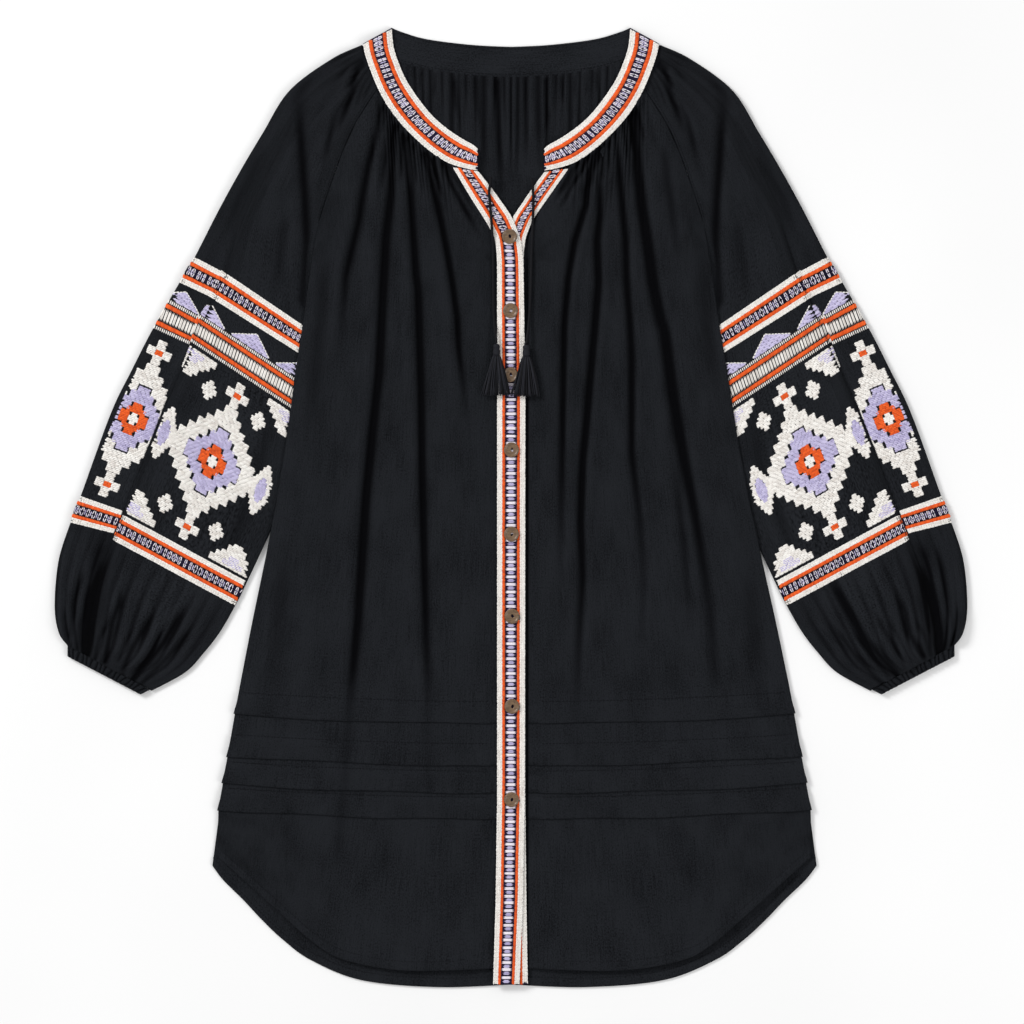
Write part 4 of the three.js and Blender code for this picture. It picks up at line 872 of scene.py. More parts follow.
# ---------------------------------------------------------------- sleeves and cuffs
@dataclass
class Sleeve:
    """A raglan balloon sleeve laid flat, with one long soft pleat and a gathered end.

    Attributes:
        side: LEFT or RIGHT.
        rows: Points along the sleeve.
        wall: Thickness of the cloth.
        fullness: How much deeper the creases are laid than their tables say.
        splits: Points in each stretch of the section.
    """

    side: int
    rows: int = 126
    wall: float = 0.6
    fullness: float = 1.4
    splits: tuple[int, ...] = (6, 10, 30, 22, 6, 2, 2, 2, 7, 2, 2, 4, 16, 18, 3, 3, 3, 6, 6, 5, 2)
    surface: BVHTree | None = None

    def section(self, width: float, fold: float, low: float) -> Array:
        """The sleeve's cloth across one station.

        Args:
            width: Width of the sleeve there.
            fold: How far the pleat is laid over.
            low: How far the inner edge has come down under the body's side seam.

        Returns:
            Distances from the inner edge and heights, from the front edge round to the back.
        """
        floor, step = CLOTH / 2, CLOTH + SEAM
        upper = UPPER + CLOTH / 2
        seam = mix(upper, floor + step, low)
        edge = width * FOLD_AT
        raised = min(1, fold * 2) * 2 * step
        laid = max(0, fold * 2 - 1)
        turn = (upper - floor) / 2
        end = width - turn - CLOTH / 2 - 0.1
        flat = min(14, width * 0.2)
        climb = min(32, width * 0.35)
        crest = max(edge - FOLD_HIDDEN - 3, mix(climb, edge, 0.75))
        pleat = [
            (edge + mix(soft * min(1, width / 90), over, laid),
             upper + raised * mix(ramp, level, laid))
            for soft, ramp, over, level in PLEAT
        ]
        points = [
            (0, seam), (flat, seam), (climb, upper),
            (max(edge - FOLD_SLOPE, mix(climb, edge, 0.4)), upper),
            (crest, mix(upper, upper + raised, mix(0.75, 1, laid))), *pleat,
            (mix(edge, width, 0.6), upper), (end, upper), (end + turn * 0.87, floor + turn * 1.5),
            (end + turn * 0.87, floor + turn * 0.5), (end, floor), (width * 0.62, floor),
            (width * 0.3, floor), (flat * 0.5, floor), (0, floor),
        ]
        return np.array(points, float)

    def columns(self) -> Array:
        """Fractional columns of the section, closer together where the cloth bends."""
        parts = [np.linspace(k, k + 1, n, endpoint=False) for k, n in enumerate(self.splits)]
        return np.concatenate([*parts, [float(len(self.splits))]])

    def build(self, finish: bpy.types.Material) -> bpy.types.Object:
        """Makes the sleeve.

        Args:
            finish: Its material.

        Returns:
            The finished object.
        """
        columns = self.columns()
        stations = np.linspace(0, 1, self.rows) * (len(SLEEVE) - 1)
        ends = Route(tuple(row[:4] for row in SLEEVE)).at(stations / (len(SLEEVE) - 1))
        traits = by_row(tuple(row[4:] for row in SLEEVE), stations / (len(SLEEVE) - 1))
        back = by_row(BACK_RAGLAN, stations / (len(BACK_RAGLAN) - 1))
        creases = SLEEVE_CREASES + SLEEVE_END_CREASES[self.side]
        points, flat, hollow = [], [], []
        for k, station in enumerate(stations):
            outer, front = ends[k, :2], ends[k, 2:4]
            fold, low, puff = traits[k]
            width = float(np.hypot(*(outer - front)))
            section = self.section(width, fold, low)
            index = np.arange(len(section))
            q = np.interp(columns, index, section[:, 0])
            z = np.interp(columns, index, section[:, 1])
            for _ in range(2):
                q[1:-1] = (q[:-2] + 2 * q[1:-1] + q[2:]) / 4
                z[1:-1] = (z[:-2] + 2 * z[1:-1] + z[2:]) / 4
            inner = np.where((columns > 16)[:, None] & (station <= 4), back[k], front)
            gap = SEAM / width if station < len(FRONT_RAGLAN) else 0
            tucked = 4.5 * float(smooth(station, 3.7, 4.4)) * (1 - smooth(q, 0, 26))
            share = np.maximum(q / width, 0) + gap * (1 - q / width) - tucked / width
            place = mix(inner, outer, share[:, None])
            shown = (1 - smooth(columns, 13.6, 15)) * smooth(q, 1, 9)
            shown = shown * smooth(np.hypot(*(place - front).T) / width, 0, 0.06)
            near_end = smooth(station, 0.05, 0.5) if station < 1 else 1.0
            hills = self.fullness * relief(creases, place[:, 0], place[:, 1])
            wave = np.sin(np.pi * q / width * 13 + 1.1 * np.sin(q / width * 7)) ** 2
            gathers = puff**1.6 * (wave - 0.45)
            lifted = z + shown * near_end * (hills + 1.0) + shown * gathers * 2.2
            lowest = np.where(columns < 12.5, CLOTH + SEAM + CLOTH / 2, CLOTH / 2 + 0.1)
            lifted = np.where(columns < 15.5, np.maximum(lifted, lowest), lifted)
            # Painted shade: hollow darkens the colour in the creases and in the troughs between the
            # gathers.
            hollow.append(shown * np.clip(-hills / 3.0 + 2 * np.maximum(-gathers, 0), 0, 1))
            top = np.where(columns > 15, np.maximum(lifted - CLOTH / 2, 0) + self.wall,
                           lifted + CLOTH / 2)
            points.append(np.column_stack([self.side * place[:, 0], place[:, 1], top]))
            flat.append(np.column_stack([columns * 28 * self.side, columns * 0 - station * 42]))
        name = f"cloth_sleeve_{SIDES[self.side]}"
        sheet = ClothSheet(name, np.array(points), np.array(flat), self.wall, np.array(hollow))
        piece = sheet.build(finish)
        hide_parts(f"sleeve_{SIDES[self.side]}")
        self.surface = drop_surface(piece)
        return piece


@dataclass
class Cuff:
    """A shirred cuff laid flat, ribbed by its elastic threads.

    Attributes:
        side: LEFT or RIGHT.
        ribs: Ribs across the shown half.
        rise: Height of a rib.
    """

    side: int
    ribs: int = 17
    rise: float = 1.6

    def build(self, finish: bpy.types.Material) -> bpy.types.Object:
        """Makes the cuff.

        Args:
            finish: Its material.

        Returns:
            The finished object.
        """
        front = np.linspace(0, 1, self.ribs * 8 + 1)
        turn = np.linspace(0, np.pi, 9)[1:-1]
        below = np.linspace(1, 0, 40)
        high, low = 2 * BAND + 2 * SEAM + BAND / 2, 0.65
        middle, reach = (high + low) / 2, (high - low) / 2
        points, flat, hollow = [], [], []
        for down in np.linspace(-0.07, 1, 15):
            edge = mix(np.array(CUFF[0]), np.array(CUFF[1]), down)
            outer, inner = edge[:2], edge[2:]
            inner = inner + (inner - outer) / np.hypot(*(inner - outer)) * 2.4 * (1 - down)
            width = float(np.hypot(*(outer - inner)))
            pinch = 0.55 + 0.45 * abs(math.cos(down * math.pi * 3))
            wave = np.abs(np.sin(np.pi * front * self.ribs + 0.5 * np.sin(front * 31 + down * 2)))
            z = np.concatenate([
                high - self.rise * 0.4 + self.rise * pinch * wave,
                middle + reach * np.cos(turn), np.full(len(below), low),
            ])
            # Painted shade: hollow darkens the colour in the grooves between the cuff's ribs.
            hollow.append(np.concatenate([(1 - wave) ** 1.5, turn * 0, below * 0]))
            q = np.concatenate([
                0.5 + front * (width - 2.9), width - 2.4 + 2.2 * np.sin(turn),
                0.5 + below * (width - 2.9),
            ])
            place = mix(inner, outer, (q / width)[:, None])
            points.append(np.column_stack([self.side * place[:, 0], place[:, 1], z]))
            around = np.linspace(0, 200, len(q))
            flat.append(np.column_stack([around * self.side, around * 0 - down * 12]))
        name = f"cloth_cuff_{SIDES[self.side]}"
        sheet = ClothSheet(name, np.array(points), np.array(flat), hollow=np.array(hollow))
        piece = sheet.build(finish)
        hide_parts(f"cuff_{SIDES[self.side]}")
        return piece


# ---------------------------------------------------------------- finishes
def linear(colour: tuple[int, int, int]) -> tuple[float, float, float, float]:
    """Turns a display colour from 0 to 255 into scene light.

    Args:
        colour: Red, green and blue.

    Returns:
        Red, green, blue and 1.
    """
    parts = [c / 255 for c in colour]
    light = [c / 12.92 if c <= 0.04045 else ((c + 0.055) / 1.055) ** 2.4 for c in parts]
    return (*light, 1.0)


class Dyer:
    """Builds one material's nodes."""

    def __init__(self, name: str) -> None:
        """Starts a material with its plain surface shader.

        Args:
            name: Name of the material.
        """
        self.material = bpy.data.materials.new(name)
        self.material.use_nodes = True
        self.tree = self.material.node_tree
        self.shader = self.tree.nodes["Principled BSDF"]

    def node(self, kind: str, **settings: object) -> bpy.types.Node:
        """Adds a node and sets what it is told.

        Args:
            kind: Kind of node.
            **settings: The node's settings.

        Returns:
            The node.
        """
        made = self.tree.nodes.new(kind)
        for key, value in settings.items():
            setattr(made, key, value)
        return made

    def join(self, source: bpy.types.NodeSocket, target: bpy.types.NodeSocket) -> None:
        """Joins two sockets."""
        self.tree.links.new(source, target)

    def lay(self, scale: tuple[float, float, float], turn: float = 0.0) -> bpy.types.NodeSocket:
        """Coordinates on the flat cloth, stretched by scale.

        Args:
            scale: Repeats for each metre, across and along.
            turn: Turn of the pattern, in radians.

        Returns:
            The coordinates' socket.
        """
        place = self.node("ShaderNodeUVMap", uv_map="UVMap")
        mapping = self.node("ShaderNodeMapping")
        mapping.inputs["Scale"].default_value = scale
        mapping.inputs["Rotation"].default_value = (0, 0, turn)
        self.join(place.outputs["UV"], mapping.inputs["Vector"])
        return mapping.outputs["Vector"]

    def spot(self, scale: tuple[float, float, float]) -> bpy.types.NodeSocket:
        """Coordinates in the object's own space, stretched by scale.

        Args:
            scale: Stretch in each direction.

        Returns:
            The coordinates.
        """
        place = self.node("ShaderNodeTexCoord")
        mapping = self.node("ShaderNodeMapping")
        mapping.inputs["Scale"].default_value = scale
        self.join(place.outputs["Object"], mapping.inputs["Vector"])
        return mapping.outputs["Vector"]

    def noise(self, vector: bpy.types.NodeSocket, detail: float, rough: float = 0.5,
              bend: float = 0.0) -> bpy.types.NodeSocket:
        """A soft irregular pattern, one unit of its coordinates to a patch.

        Args:
            vector: The coordinates.
            detail: Finer and finer patches added.
            rough: Strength of the finer patches.
            bend: How far it is distorted.

        Returns:
            The pattern's socket, from 0 to 1.
        """
        made = self.node("ShaderNodeTexNoise")
        made.inputs["Scale"].default_value = 1.0
        made.inputs["Detail"].default_value = detail
        made.inputs["Roughness"].default_value = rough
        made.inputs["Distortion"].default_value = bend
        self.join(vector, made.inputs["Vector"])
        return made.outputs["Fac"]

    def weave(self, vector: bpy.types.NodeSocket, direction: str,
              bend: float) -> bpy.types.NodeSocket:
        """Even threads in one direction.

        Args:
            vector: Where the pattern is read.
            direction: X or Y.
            bend: How far the threads wander.

        Returns:
            The pattern.
        """
        made = self.node("ShaderNodeTexWave", wave_type="BANDS", bands_direction=direction)
        made.inputs["Scale"].default_value = 1.0
        made.inputs["Distortion"].default_value = bend
        made.inputs["Detail"].default_value = 1.0
        self.join(vector, made.inputs["Vector"])
        return made.outputs["Fac"]

    def sum(self, first: bpy.types.NodeSocket, second: bpy.types.NodeSocket,
            share: float) -> bpy.types.NodeSocket:
        """First plus a share of second.

        Args:
            first: First value.
            second: Second value.
            share: How much of the second is added.

        Returns:
            The sum.
        """
        made = self.node("ShaderNodeMath", operation="MULTIPLY_ADD")
        made.inputs[1].default_value = share
        self.join(second, made.inputs[0])
        self.join(first, made.inputs[2])
        return made.outputs[0]

    def shade(self, factor: bpy.types.NodeSocket, low: tuple[int, int, int],
              high: tuple[int, int, int], start: float, stop: float) -> bpy.types.NodeSocket:
        """Colours that go from low to high as the factor goes from start to stop.

        Args:
            factor: What picks the colour.
            low: First colour.
            high: Last colour.
            start: Factor at the first colour.
            stop: Factor at the last colour.

        Returns:
            The colours.
        """
        ramp = self.node("ShaderNodeValToRGB")
        ramp.color_ramp.elements[0].position = start
        ramp.color_ramp.elements[0].color = linear(low)
        ramp.color_ramp.elements[1].position = stop
        ramp.color_ramp.elements[1].color = linear(high)
        self.join(factor, ramp.inputs["Fac"])
        return ramp.outputs["Color"]

    def paint_crease_shade(self, even: bpy.types.NodeSocket, deep: tuple[int, int, int],
             share: float) -> bpy.types.NodeSocket:
        """Paints shade into a colour: darkens it towards deep in the cloth's hollows, where shade
        falls.

        Args:
            even: The colour on level cloth.
            deep: The painted shade colour in a hollow.
            share: How far a full hollow goes towards it.

        Returns:
            The colour's socket.
        """
        scale = self.node("ShaderNodeMath", operation="MULTIPLY", use_clamp=True)
        scale.inputs[1].default_value = share
        self.join(self.value("hollow"), scale.inputs[0])
        blend = self.node("ShaderNodeMix", data_type="RGBA")
        self.join(scale.outputs[0], blend.inputs["Factor"])
        self.join(even, blend.inputs[6])
        blend.inputs[7].default_value = linear(deep)
        return blend.outputs[2]

    def value(self, name: str) -> bpy.types.NodeSocket:
        """A number stored on the mesh."""
        made = self.node("ShaderNodeAttribute", attribute_type="GEOMETRY", attribute_name=name)
        return made.outputs["Fac"]

    def relieve(self, height: bpy.types.NodeSocket, distance: float, strength: float) -> None:
        """Raises the surface by a pattern, to a distance in metres.

        Args:
            height: The pattern.
            distance: Distance in metres.
            strength: How strong it is.
        """
        bump = self.node("ShaderNodeBump")
        bump.inputs["Distance"].default_value = distance
        bump.inputs["Strength"].default_value = strength
        self.join(height, bump.inputs["Height"])
        self.join(bump.outputs["Normal"], self.shader.inputs["Normal"])

    def colour(self, source: bpy.types.NodeSocket) -> None:
        """Colours the surface."""
        self.join(source, self.shader.inputs["Base Color"])

    def surface(self, roughness: float, specular: float, sheen: float = 0.0,
                sheen_roughness: float = 0.5, coat: float = 0.0) -> None:
        """Sets the shader's even qualities.

        Args:
            roughness: Roughness.
            specular: Strength of the plain reflection.
            sheen: Strength of the fibres' sheen.
            sheen_roughness: Roughness of the sheen.
            coat: Strength of a clear coat.
        """
        self.shader.inputs["Roughness"].default_value = roughness
        self.shader.inputs["Specular IOR Level"].default_value = specular
        self.shader.inputs["Sheen Weight"].default_value = sheen
        self.shader.inputs["Sheen Roughness"].default_value = sheen_roughness
        self.shader.inputs["Coat Weight"].default_value = coat
        self.shader.inputs["Coat Roughness"].default_value = 0.2


@dataclass(frozen=True)
class CrepeFinish:
    """Near-black crinkled cotton, with slubs along the warp, and painted shade darkening it in its
    creases.

    Attributes:
        name: Name of the material.
        dark: Colour in the weave's hollows.
        light: Colour on the threads.
        deep: Painted shade colour at the bottom of a deep crease.
        crinkle: Height of the crinkles, in metres.
    """

    name: str = "crepe cotton"
    dark: tuple[int, int, int] = (5, 6, 8)
    light: tuple[int, int, int] = (34, 36, 40)
    deep: tuple[int, int, int] = (3, 3, 5)
    crinkle: float = 0.0017

    def make(self) -> bpy.types.Material:
        """Makes the material.

        Returns:
            The material.
        """
        dye = Dyer(self.name)
        crinkle = dye.noise(dye.lay((430, 120, 1)), 3, 0.6, 0.7)
        slub = dye.noise(dye.lay((900, 30, 1)), 2, 0.6)
        fine = dye.noise(dye.lay((1300, 900, 1)), 1, 0.5)
        height = dye.sum(dye.sum(crinkle, slub, 0.3), fine, 0.6)
        patch = dye.noise(dye.lay((26, 17, 1)), 2, 0.5)
        grain = dye.noise(dye.lay((820, 560, 1)), 2, 0.6)
        tone = dye.sum(dye.sum(grain, slub, 0.45), patch, 0.4)
        even = dye.shade(tone, self.dark, self.light, 0.62, 1.24)
        # Painted shade: the colour goes towards deep where the mesh's hollow value is high.
        dye.colour(dye.paint_crease_shade(even, self.deep, 0.95))
        dye.relieve(height, self.crinkle, 0.8)
        dye.surface(0.95, 0.06)
        return dye.material


@dataclass(frozen=True)
class GroundFinish:
    """Navy cotton that the bands are stitched on.

    Attributes:
        name: Name of the material.
        dark: Colour between the threads.
        light: Colour on the threads.
    """

    name: str = "navy ground"
    dark: tuple[int, int, int] = (14, 12, 26)
    light: tuple[int, int, int] = (36, 31, 58)

    def make(self) -> bpy.types.Material:
        """Makes the material.

        Returns:
            The material.
        """
        dye = Dyer(self.name)
        across = dye.weave(dye.lay((230, 230, 1)), "X", 1.5)
        along = dye.weave(dye.lay((230, 230, 1)), "Y", 1.5)
        weave = dye.sum(across, along, 0.8)
        dye.colour(dye.shade(weave, self.dark, self.light, 0.2, 1.6))
        dye.relieve(weave, 0.0004, 0.5)
        dye.surface(0.85, 0.1)
        return dye.material


@dataclass(frozen=True)
class ThreadFinish:
    """Embroidery thread, lighter and darker from stitch to stitch.

    Attributes:
        name: Name of the material.
        dark: Colour of the darkest stitches.
        light: Colour of the lightest stitches.
        roughness: Roughness, lower for satin thread.
        sheen: Strength of the sheen.
        gloss: Strength of the plain reflection.
    """

    name: str
    dark: tuple[int, int, int]
    light: tuple[int, int, int]
    roughness: float = 0.65
    sheen: float = 0.08
    gloss: float = 0.2

    def make(self) -> bpy.types.Material:
        """Makes the material.

        Returns:
            The material.
        """
        dye = Dyer(self.name)
        ply = dye.noise(dye.spot((1600, 1600, 1600)), 1, 0.5)
        tone = dye.sum(dye.value("tone"), ply, 0.35)
        dye.colour(dye.shade(tone, self.dark, self.light, 0.1, 1.15))
        dye.relieve(ply, 0.0003, 0.35)
        dye.surface(self.roughness, self.gloss, self.sheen, 0.4)
        return dye.material


@dataclass(frozen=True)
class CoconutFinish:
    """Polished coconut shell with dark streaks.

    Attributes:
        name: Name of the material.
        dark: Colour of the streaks.
        light: Colour between them.
    """

    name: str = "coconut shell"
    dark: tuple[int, int, int] = (52, 38, 27)
    light: tuple[int, int, int] = (142, 114, 86)

    def make(self) -> bpy.types.Material:
        """Makes the material.

        Returns:
            The material.
        """
        dye = Dyer(self.name)
        streak = dye.noise(dye.spot((260, 900, 260)), 4, 0.6, 0.6)
        speck = dye.noise(dye.spot((2100, 2100, 2100)), 1, 0.5)
        dye.colour(dye.shade(dye.sum(streak, speck, 0.25), self.dark, self.light, 0.3, 0.95))
        dye.relieve(streak, 0.0001, 0.2)
        dye.surface(0.45, 0.4, 0, 0.5, 0.15)
        return dye.material


@dataclass(frozen=True)
class PaleFinish:
    """The pale table, with a faint grain.

    Attributes:
        name: Name of the material.
    """

    name: str = "pale table"

    def make(self) -> bpy.types.Material:
        """Makes the material.

        Returns:
            The material.
        """
        dye = Dyer(self.name)
        grain = dye.noise(dye.spot((3, 3, 3)), 1, 0.5)
        dye.colour(dye.shade(grain, (246, 246, 246), (250, 250, 250), 0.3, 0.7))
        dye.surface(0.9, 0.0)
        return dye.material


class Finish(Enum):
    """The tunic's finishes."""

    CREPE = CrepeFinish()
    NAVY = GroundFinish()
    CREAM = ThreadFinish("cream thread", (205, 196, 188), (250, 247, 242))
    ORANGE = ThreadFinish("orange thread", (190, 62, 18), (245, 104, 38))
    LAVENDER = ThreadFinish("lavender satin thread", (146, 136, 182), (208, 201, 232), 0.45, 0.15)
    PINKISH = ThreadFinish("pale bar thread", (190, 178, 196), (244, 238, 246), 0.5, 0.1)
    NAVY_THREAD = ThreadFinish("navy thread", (14, 12, 28), (38, 33, 62), 0.8, 0.0, 0.08)
    BLACK = ThreadFinish("black thread", (6, 6, 8), (26, 27, 32), 0.8, 0.0, 0.08)
    CORD = ThreadFinish("twisted cotton cord", (3, 3, 5), (38, 39, 45), 0.7, 0.0, 0.14)
    COCONUT = CoconutFinish()
    TABLE = PaleFinish()

    def material(self) -> bpy.types.Material:
        """The finish's material, made once."""
        return bpy.data.materials.get(self.value.name) or self.value.make()


# ---------------------------------------------------------------- bands
@dataclass
class Strip:
    """A flat band between two edges, with places along and across it.

    Attributes:
        name: Name of the piece.
        first: Points of one edge.
        second: Points of the other edge.
        under: Height of the underside at the first and the second edge, for each point.
        node: The solid that it stands for.
        slot: Not used.
        crown: How far the middle stands above the edges.
        climb: Where across the band its height starts to change.
    """

    name: str
    first: Array
    second: Array
    under: Array
    node: str
    slot: str = "embroidery"
    crown: float = 0.35
    climb: float = 0.15
    surface: BVHTree | None = None

    def __post_init__(self) -> None:
        """Measures the band."""
        middle = (self.first + self.second) / 2
        lengths = np.linalg.norm(np.diff(middle, axis=0), axis=1)
        self.travel = np.concatenate([[0.0], np.cumsum(lengths)])
        self.length = float(self.travel[-1])
        self.width = float(np.linalg.norm(self.first - self.second, axis=1).mean())

    def edges(self, along: Array) -> tuple[Array, Array]:
        """Points of both edges at distances along the band.

        Args:
            along: Distances along.

        Returns:
            Points of the first and the second edge.
        """
        pair = [np.stack([np.interp(along, self.travel, edge[:, k]) for k in (0, 1)], axis=-1)
                for edge in (self.first, self.second)]
        return pair[0], pair[1]

    def point(self, along: Array, across: Array) -> Array:
        """Places on the band.

        Args:
            along: Distances along it.
            across: 0 at the first edge, 1 at the second.

        Returns:
            Places across and up the garment.
        """
        first, second = self.edges(along)
        return mix(first, second, np.asarray(across)[..., None])

    def height(self, along: Array, across: Array) -> Array:
        """Height of the band's upper face.

        Args:
            along: Distances along the band.
            across: 0 at the first edge, 1 at the second.

        Returns:
            The heights.
        """
        low = [np.interp(along, self.travel, self.under[:, k]) for k in (0, 1)]
        base = mix(low[0], low[1], smooth(across, self.climb, 1))
        return base + BAND - 0.35 + self.crown * np.sin(np.pi * np.clip(across, 0, 1)) ** 0.6

    def build(self, finish: bpy.types.Material, step: float = 3.3) -> bpy.types.Object:
        """Makes the band.

        Args:
            finish: Its material.
            step: Distance between its rows.

        Returns:
            The finished object.
        """
        rows = max(int(self.length / step), 12)
        across = np.array([0, 0.012, 0.05, 0.12, 0.25, 0.4, 0.5, 0.6, 0.75, 0.88, 0.95, 0.988, 1])
        roll = np.array([0.5, 0.15, 0, 0, 0, 0, 0, 0, 0, 0, 0, 0.15, 0.5])
        points, flat = [], []
        for along in np.linspace(0, self.length, rows):
            place = self.point(np.full(len(across), along), across)
            high = self.height(np.full(len(across), along), across) - roll
            points.append(np.column_stack([place, high]))
            flat.append(np.column_stack([across * self.width, across * 0 - along]))
        piece = ClothSheet(self.name, np.array(points), np.array(flat), 0.8).build(finish)
        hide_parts(self.node)
        self.surface = drop_surface(piece)
        return piece


def placket_strip(name: str, table: Table, underside: float, node: str) -> Strip:
    """A placket with its strip of the V, from its table of edges.

    Args:
        name: Name of the piece.
        table: Its edges, row by row.
        underside: Height of its underside.
        node: The solid that it stands for.

    Returns:
        The band.
    """
    corners = np.asarray(table, float)
    steps = np.linalg.norm(np.diff(corners[:, :2] + corners[:, 2:], axis=0), axis=1) / 2
    travel = np.concatenate([[0.0], np.cumsum(steps)])
    even = np.linspace(0, travel[-1], int(travel[-1] / 1.5))
    rows = np.stack([np.interp(even, travel, column) for column in corners.T], axis=-1)
    for _ in range(8):
        rows[1:-1] = (rows[:-2] + 2 * rows[1:-1] + rows[2:]) / 4
    under = np.full((len(rows), 2), underside)
    return Strip(name, rows[:, :2], rows[:, 2:], under, node)


def neckband_strip(side: int) -> Strip:
    """The embroidered neckband of one side, from the shoulder fold to its notched end.

    Args:
        side: LEFT or RIGHT.

    Returns:
        The strip.
    """
    outer = Route(tuple(row[:2] for row in NECKBAND))
    inner = Route(tuple(row[2:4] for row in NECKBAND))
    share = np.linspace(0, 1, 90)
    heights = by_row(tuple(row[4:] for row in NECKBAND), share)
    mirror = np.array([side, 1])
    name = f"band_neck_{SIDES[side]}"
    return Strip(name, outer.at(share) * mirror, inner.at(share) * mirror, heights,
                 f"neckband_{SIDES[side]}")


def back_neckband_strip() -> Strip:
    """The plain inner side of the back neckband.

    Returns:
        The strip.
    """
    low = Route(tuple(row[2:] for row in BACK_BAND))
    top = Route(tuple(row[:2] for row in BACK_BAND))
    share = np.linspace(0, 1, 60)
    halves = low.at(share), top.at(share)
    whole = [np.concatenate([edge * (-1, 1), edge[::-1][1:]]) for edge in halves]
    heights = np.tile([CLOTH + SEAM * 1.5, 0.0], (len(whole[0]), 1))
    return Strip("band_neck_back", whole[0], whole[1], heights, "neckband_back", "cloth", 0.1, 0.2)


# ---------------------------------------------------------------- buttons
@dataclass
class Button:
    """A shirt button of coconut shell: a rolled rim round a dish with an oval hole.

    Attributes:
        number: Its number, from the neck down.
        x: Place across.
        y: Place up the garment.
        radius: Half its width.
        height: Its height.
        base: Height of its underside.
    """

    number: int
    x: float
    y: float
    radius: float = 7.5
    height: float = 2.6
    base: float = UPPER_PLACKET_Z + BAND + SEAM

    def profile(self) -> list[tuple[float, float]]:
        """The button's half section, from the hole round over the rim and back.

        Returns:
            Distances from the middle and heights.
        """
        r, h = self.radius, self.height
        return [
            (1.5, 0.35), (1.7, 0.1), (2.4, 0), (r - 1.2, 0), (r - 0.35, 0.3), (r, 0.95),
            (r - 0.05, h - 0.75), (r - 0.4, h - 0.2), (r - 0.95, h), (r - 1.5, h - 0.1),
            (r - 2.1, h - 0.55), (r - 2.7, h - 0.85), (3.2, h - 0.9), (2.2, h - 0.95),
            (1.7, h - 1.15), (1.5, h - 1.5),
        ]

    def build(self) -> bpy.types.Object:
        """Makes the button and sets it on the placket.

        Returns:
            The finished object.
        """
        shape = bmesh.new()
        ring = [shape.verts.new((r * MM, 0, z * MM)) for r, z in self.profile()]
        edges = [shape.edges.new((ring[k], ring[(k + 1) % len(ring)])) for k in range(len(ring))]
        bmesh.ops.spin(shape, geom=ring + edges, cent=(0, 0, 0), axis=(0, 0, 1), dvec=(0, 0, 0),
                       angle=math.tau, steps=56, use_merge=True, use_duplicate=False)
        bmesh.ops.remove_doubles(shape, verts=shape.verts, dist=1e-6)
        hole = [v for v in shape.verts if math.hypot(v.co.x, v.co.y) < 2.9 * MM]
        bmesh.ops.scale(shape, verts=hole, vec=(0.82, 1.18, 1))
        bmesh.ops.translate(shape, verts=hole, vec=(0.5 * MM, 0, 0))
        turn = Matrix.Rotation(0.5 * math.sin(self.number * 2.3), 3, "Z")
        bmesh.ops.rotate(shape, verts=shape.verts, cent=(0, 0, 0), matrix=turn)
        spot = (self.x * MM, self.y * MM, self.base * MM)
        bmesh.ops.translate(shape, verts=shape.verts, vec=spot)
        bmesh.ops.recalc_face_normals(shape, faces=shape.faces)
        mesh = bpy.data.meshes.new(f"shell_button_{self.number}")
        shape.to_mesh(mesh)
        shape.free()
        mesh.shade_smooth()
        piece = place_object(mesh.name, mesh, Finish.COCONUT.material())
        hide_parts(f"button_{self.number}")
        return piece


# ---------------------------------------------------------------- ties and tassels
LEFT_TIE = (
    (-20.6, 328.5, 5.4), (-20.4, 326, 6.3), (-20.6, 323, 7.5), (-21.1, 319.5, 8.35),
    (-21.6, 316, 8.6), (-21.8, 312, 8.6), (-21.2, 306, 8.5), (-20.4, 296, 8.5),
    (-19.6, 286, 8.4), (-19, 277, 8.4), (-18.5, 268, 8.2), (-18.2, 259, 7.5), (-18, 250, 6.9),
    (-17.9, 238, 6.7), (-17.8, 224, 6.7), (-17.7, 210, 6.7), (-17.5, 196, 6.8), (-17, 185, 7.6),
    (-16, 175, 9.4), (-15, 168, 10.2), (-14.6, 162.8, 10.5),
)
RIGHT_TIE = (
    (21.2, 327.2, 5.4), (21, 325, 6.4), (21.4, 321.5, 7), (22, 315, 7.1), (22.3, 306, 7),
    (22.2, 296, 6.9), (21.9, 286, 6.9), (21.5, 276, 6.9), (21, 266, 6.9), (20.6, 256, 6.9),
    (20.3, 244, 6.9), (20, 232, 6.9), (19.7, 219, 6.9), (19.2, 206, 6.9), (18.6, 194, 7),
    (17.8, 184, 7.7), (17, 174.5, 9), (16, 167, 9.9), (15.4, 162.2, 10.2),
)


def tube(name: str, rings: Array) -> bpy.types.Mesh:
    """A closed tube through rings of points, its ends filled.

    Args:
        name: Name of the mesh.
        rings: Rings of points, in millimetres.

    Returns:
        The mesh.
    """
    count, around = rings.shape[:2]
    shape = bmesh.new()
    bmesh.ops.create_grid(shape, x_segments=around, y_segments=count - 1, size=0.5)
    closed = np.concatenate([rings, rings[:, :1]], axis=1)
    for vertex in shape.verts:
        column = round((vertex.co.x + 0.5) * around)
        row = round((0.5 - vertex.co.y) * (count - 1))
        vertex.co = Vector(closed[row, column]) * MM
    bmesh.ops.remove_doubles(shape, verts=shape.verts, dist=1e-7)
    bmesh.ops.holes_fill(shape, edges=[edge for edge in shape.edges if edge.is_boundary])
    bmesh.ops.recalc_face_normals(shape, faces=shape.faces)
    mesh = bpy.data.meshes.new(name)
    shape.to_mesh(mesh)
    shape.free()
    mesh.shade_smooth()
    return mesh


def frames(path: Array) -> tuple[Array, Array]:
    """Directions square to a path, sideways and upwards, at each of its points.

    Args:
        path: Points of the path.

    Returns:
        Sideways and upward directions.
    """
    ahead = np.gradient(path, axis=0)
    ahead /= np.linalg.norm(ahead, axis=1)[:, None]
    across = np.cross(ahead, (0.0, 0.0, 1.0))
    across /= np.linalg.norm(across, axis=1)[:, None]
    return across, np.cross(across, ahead)


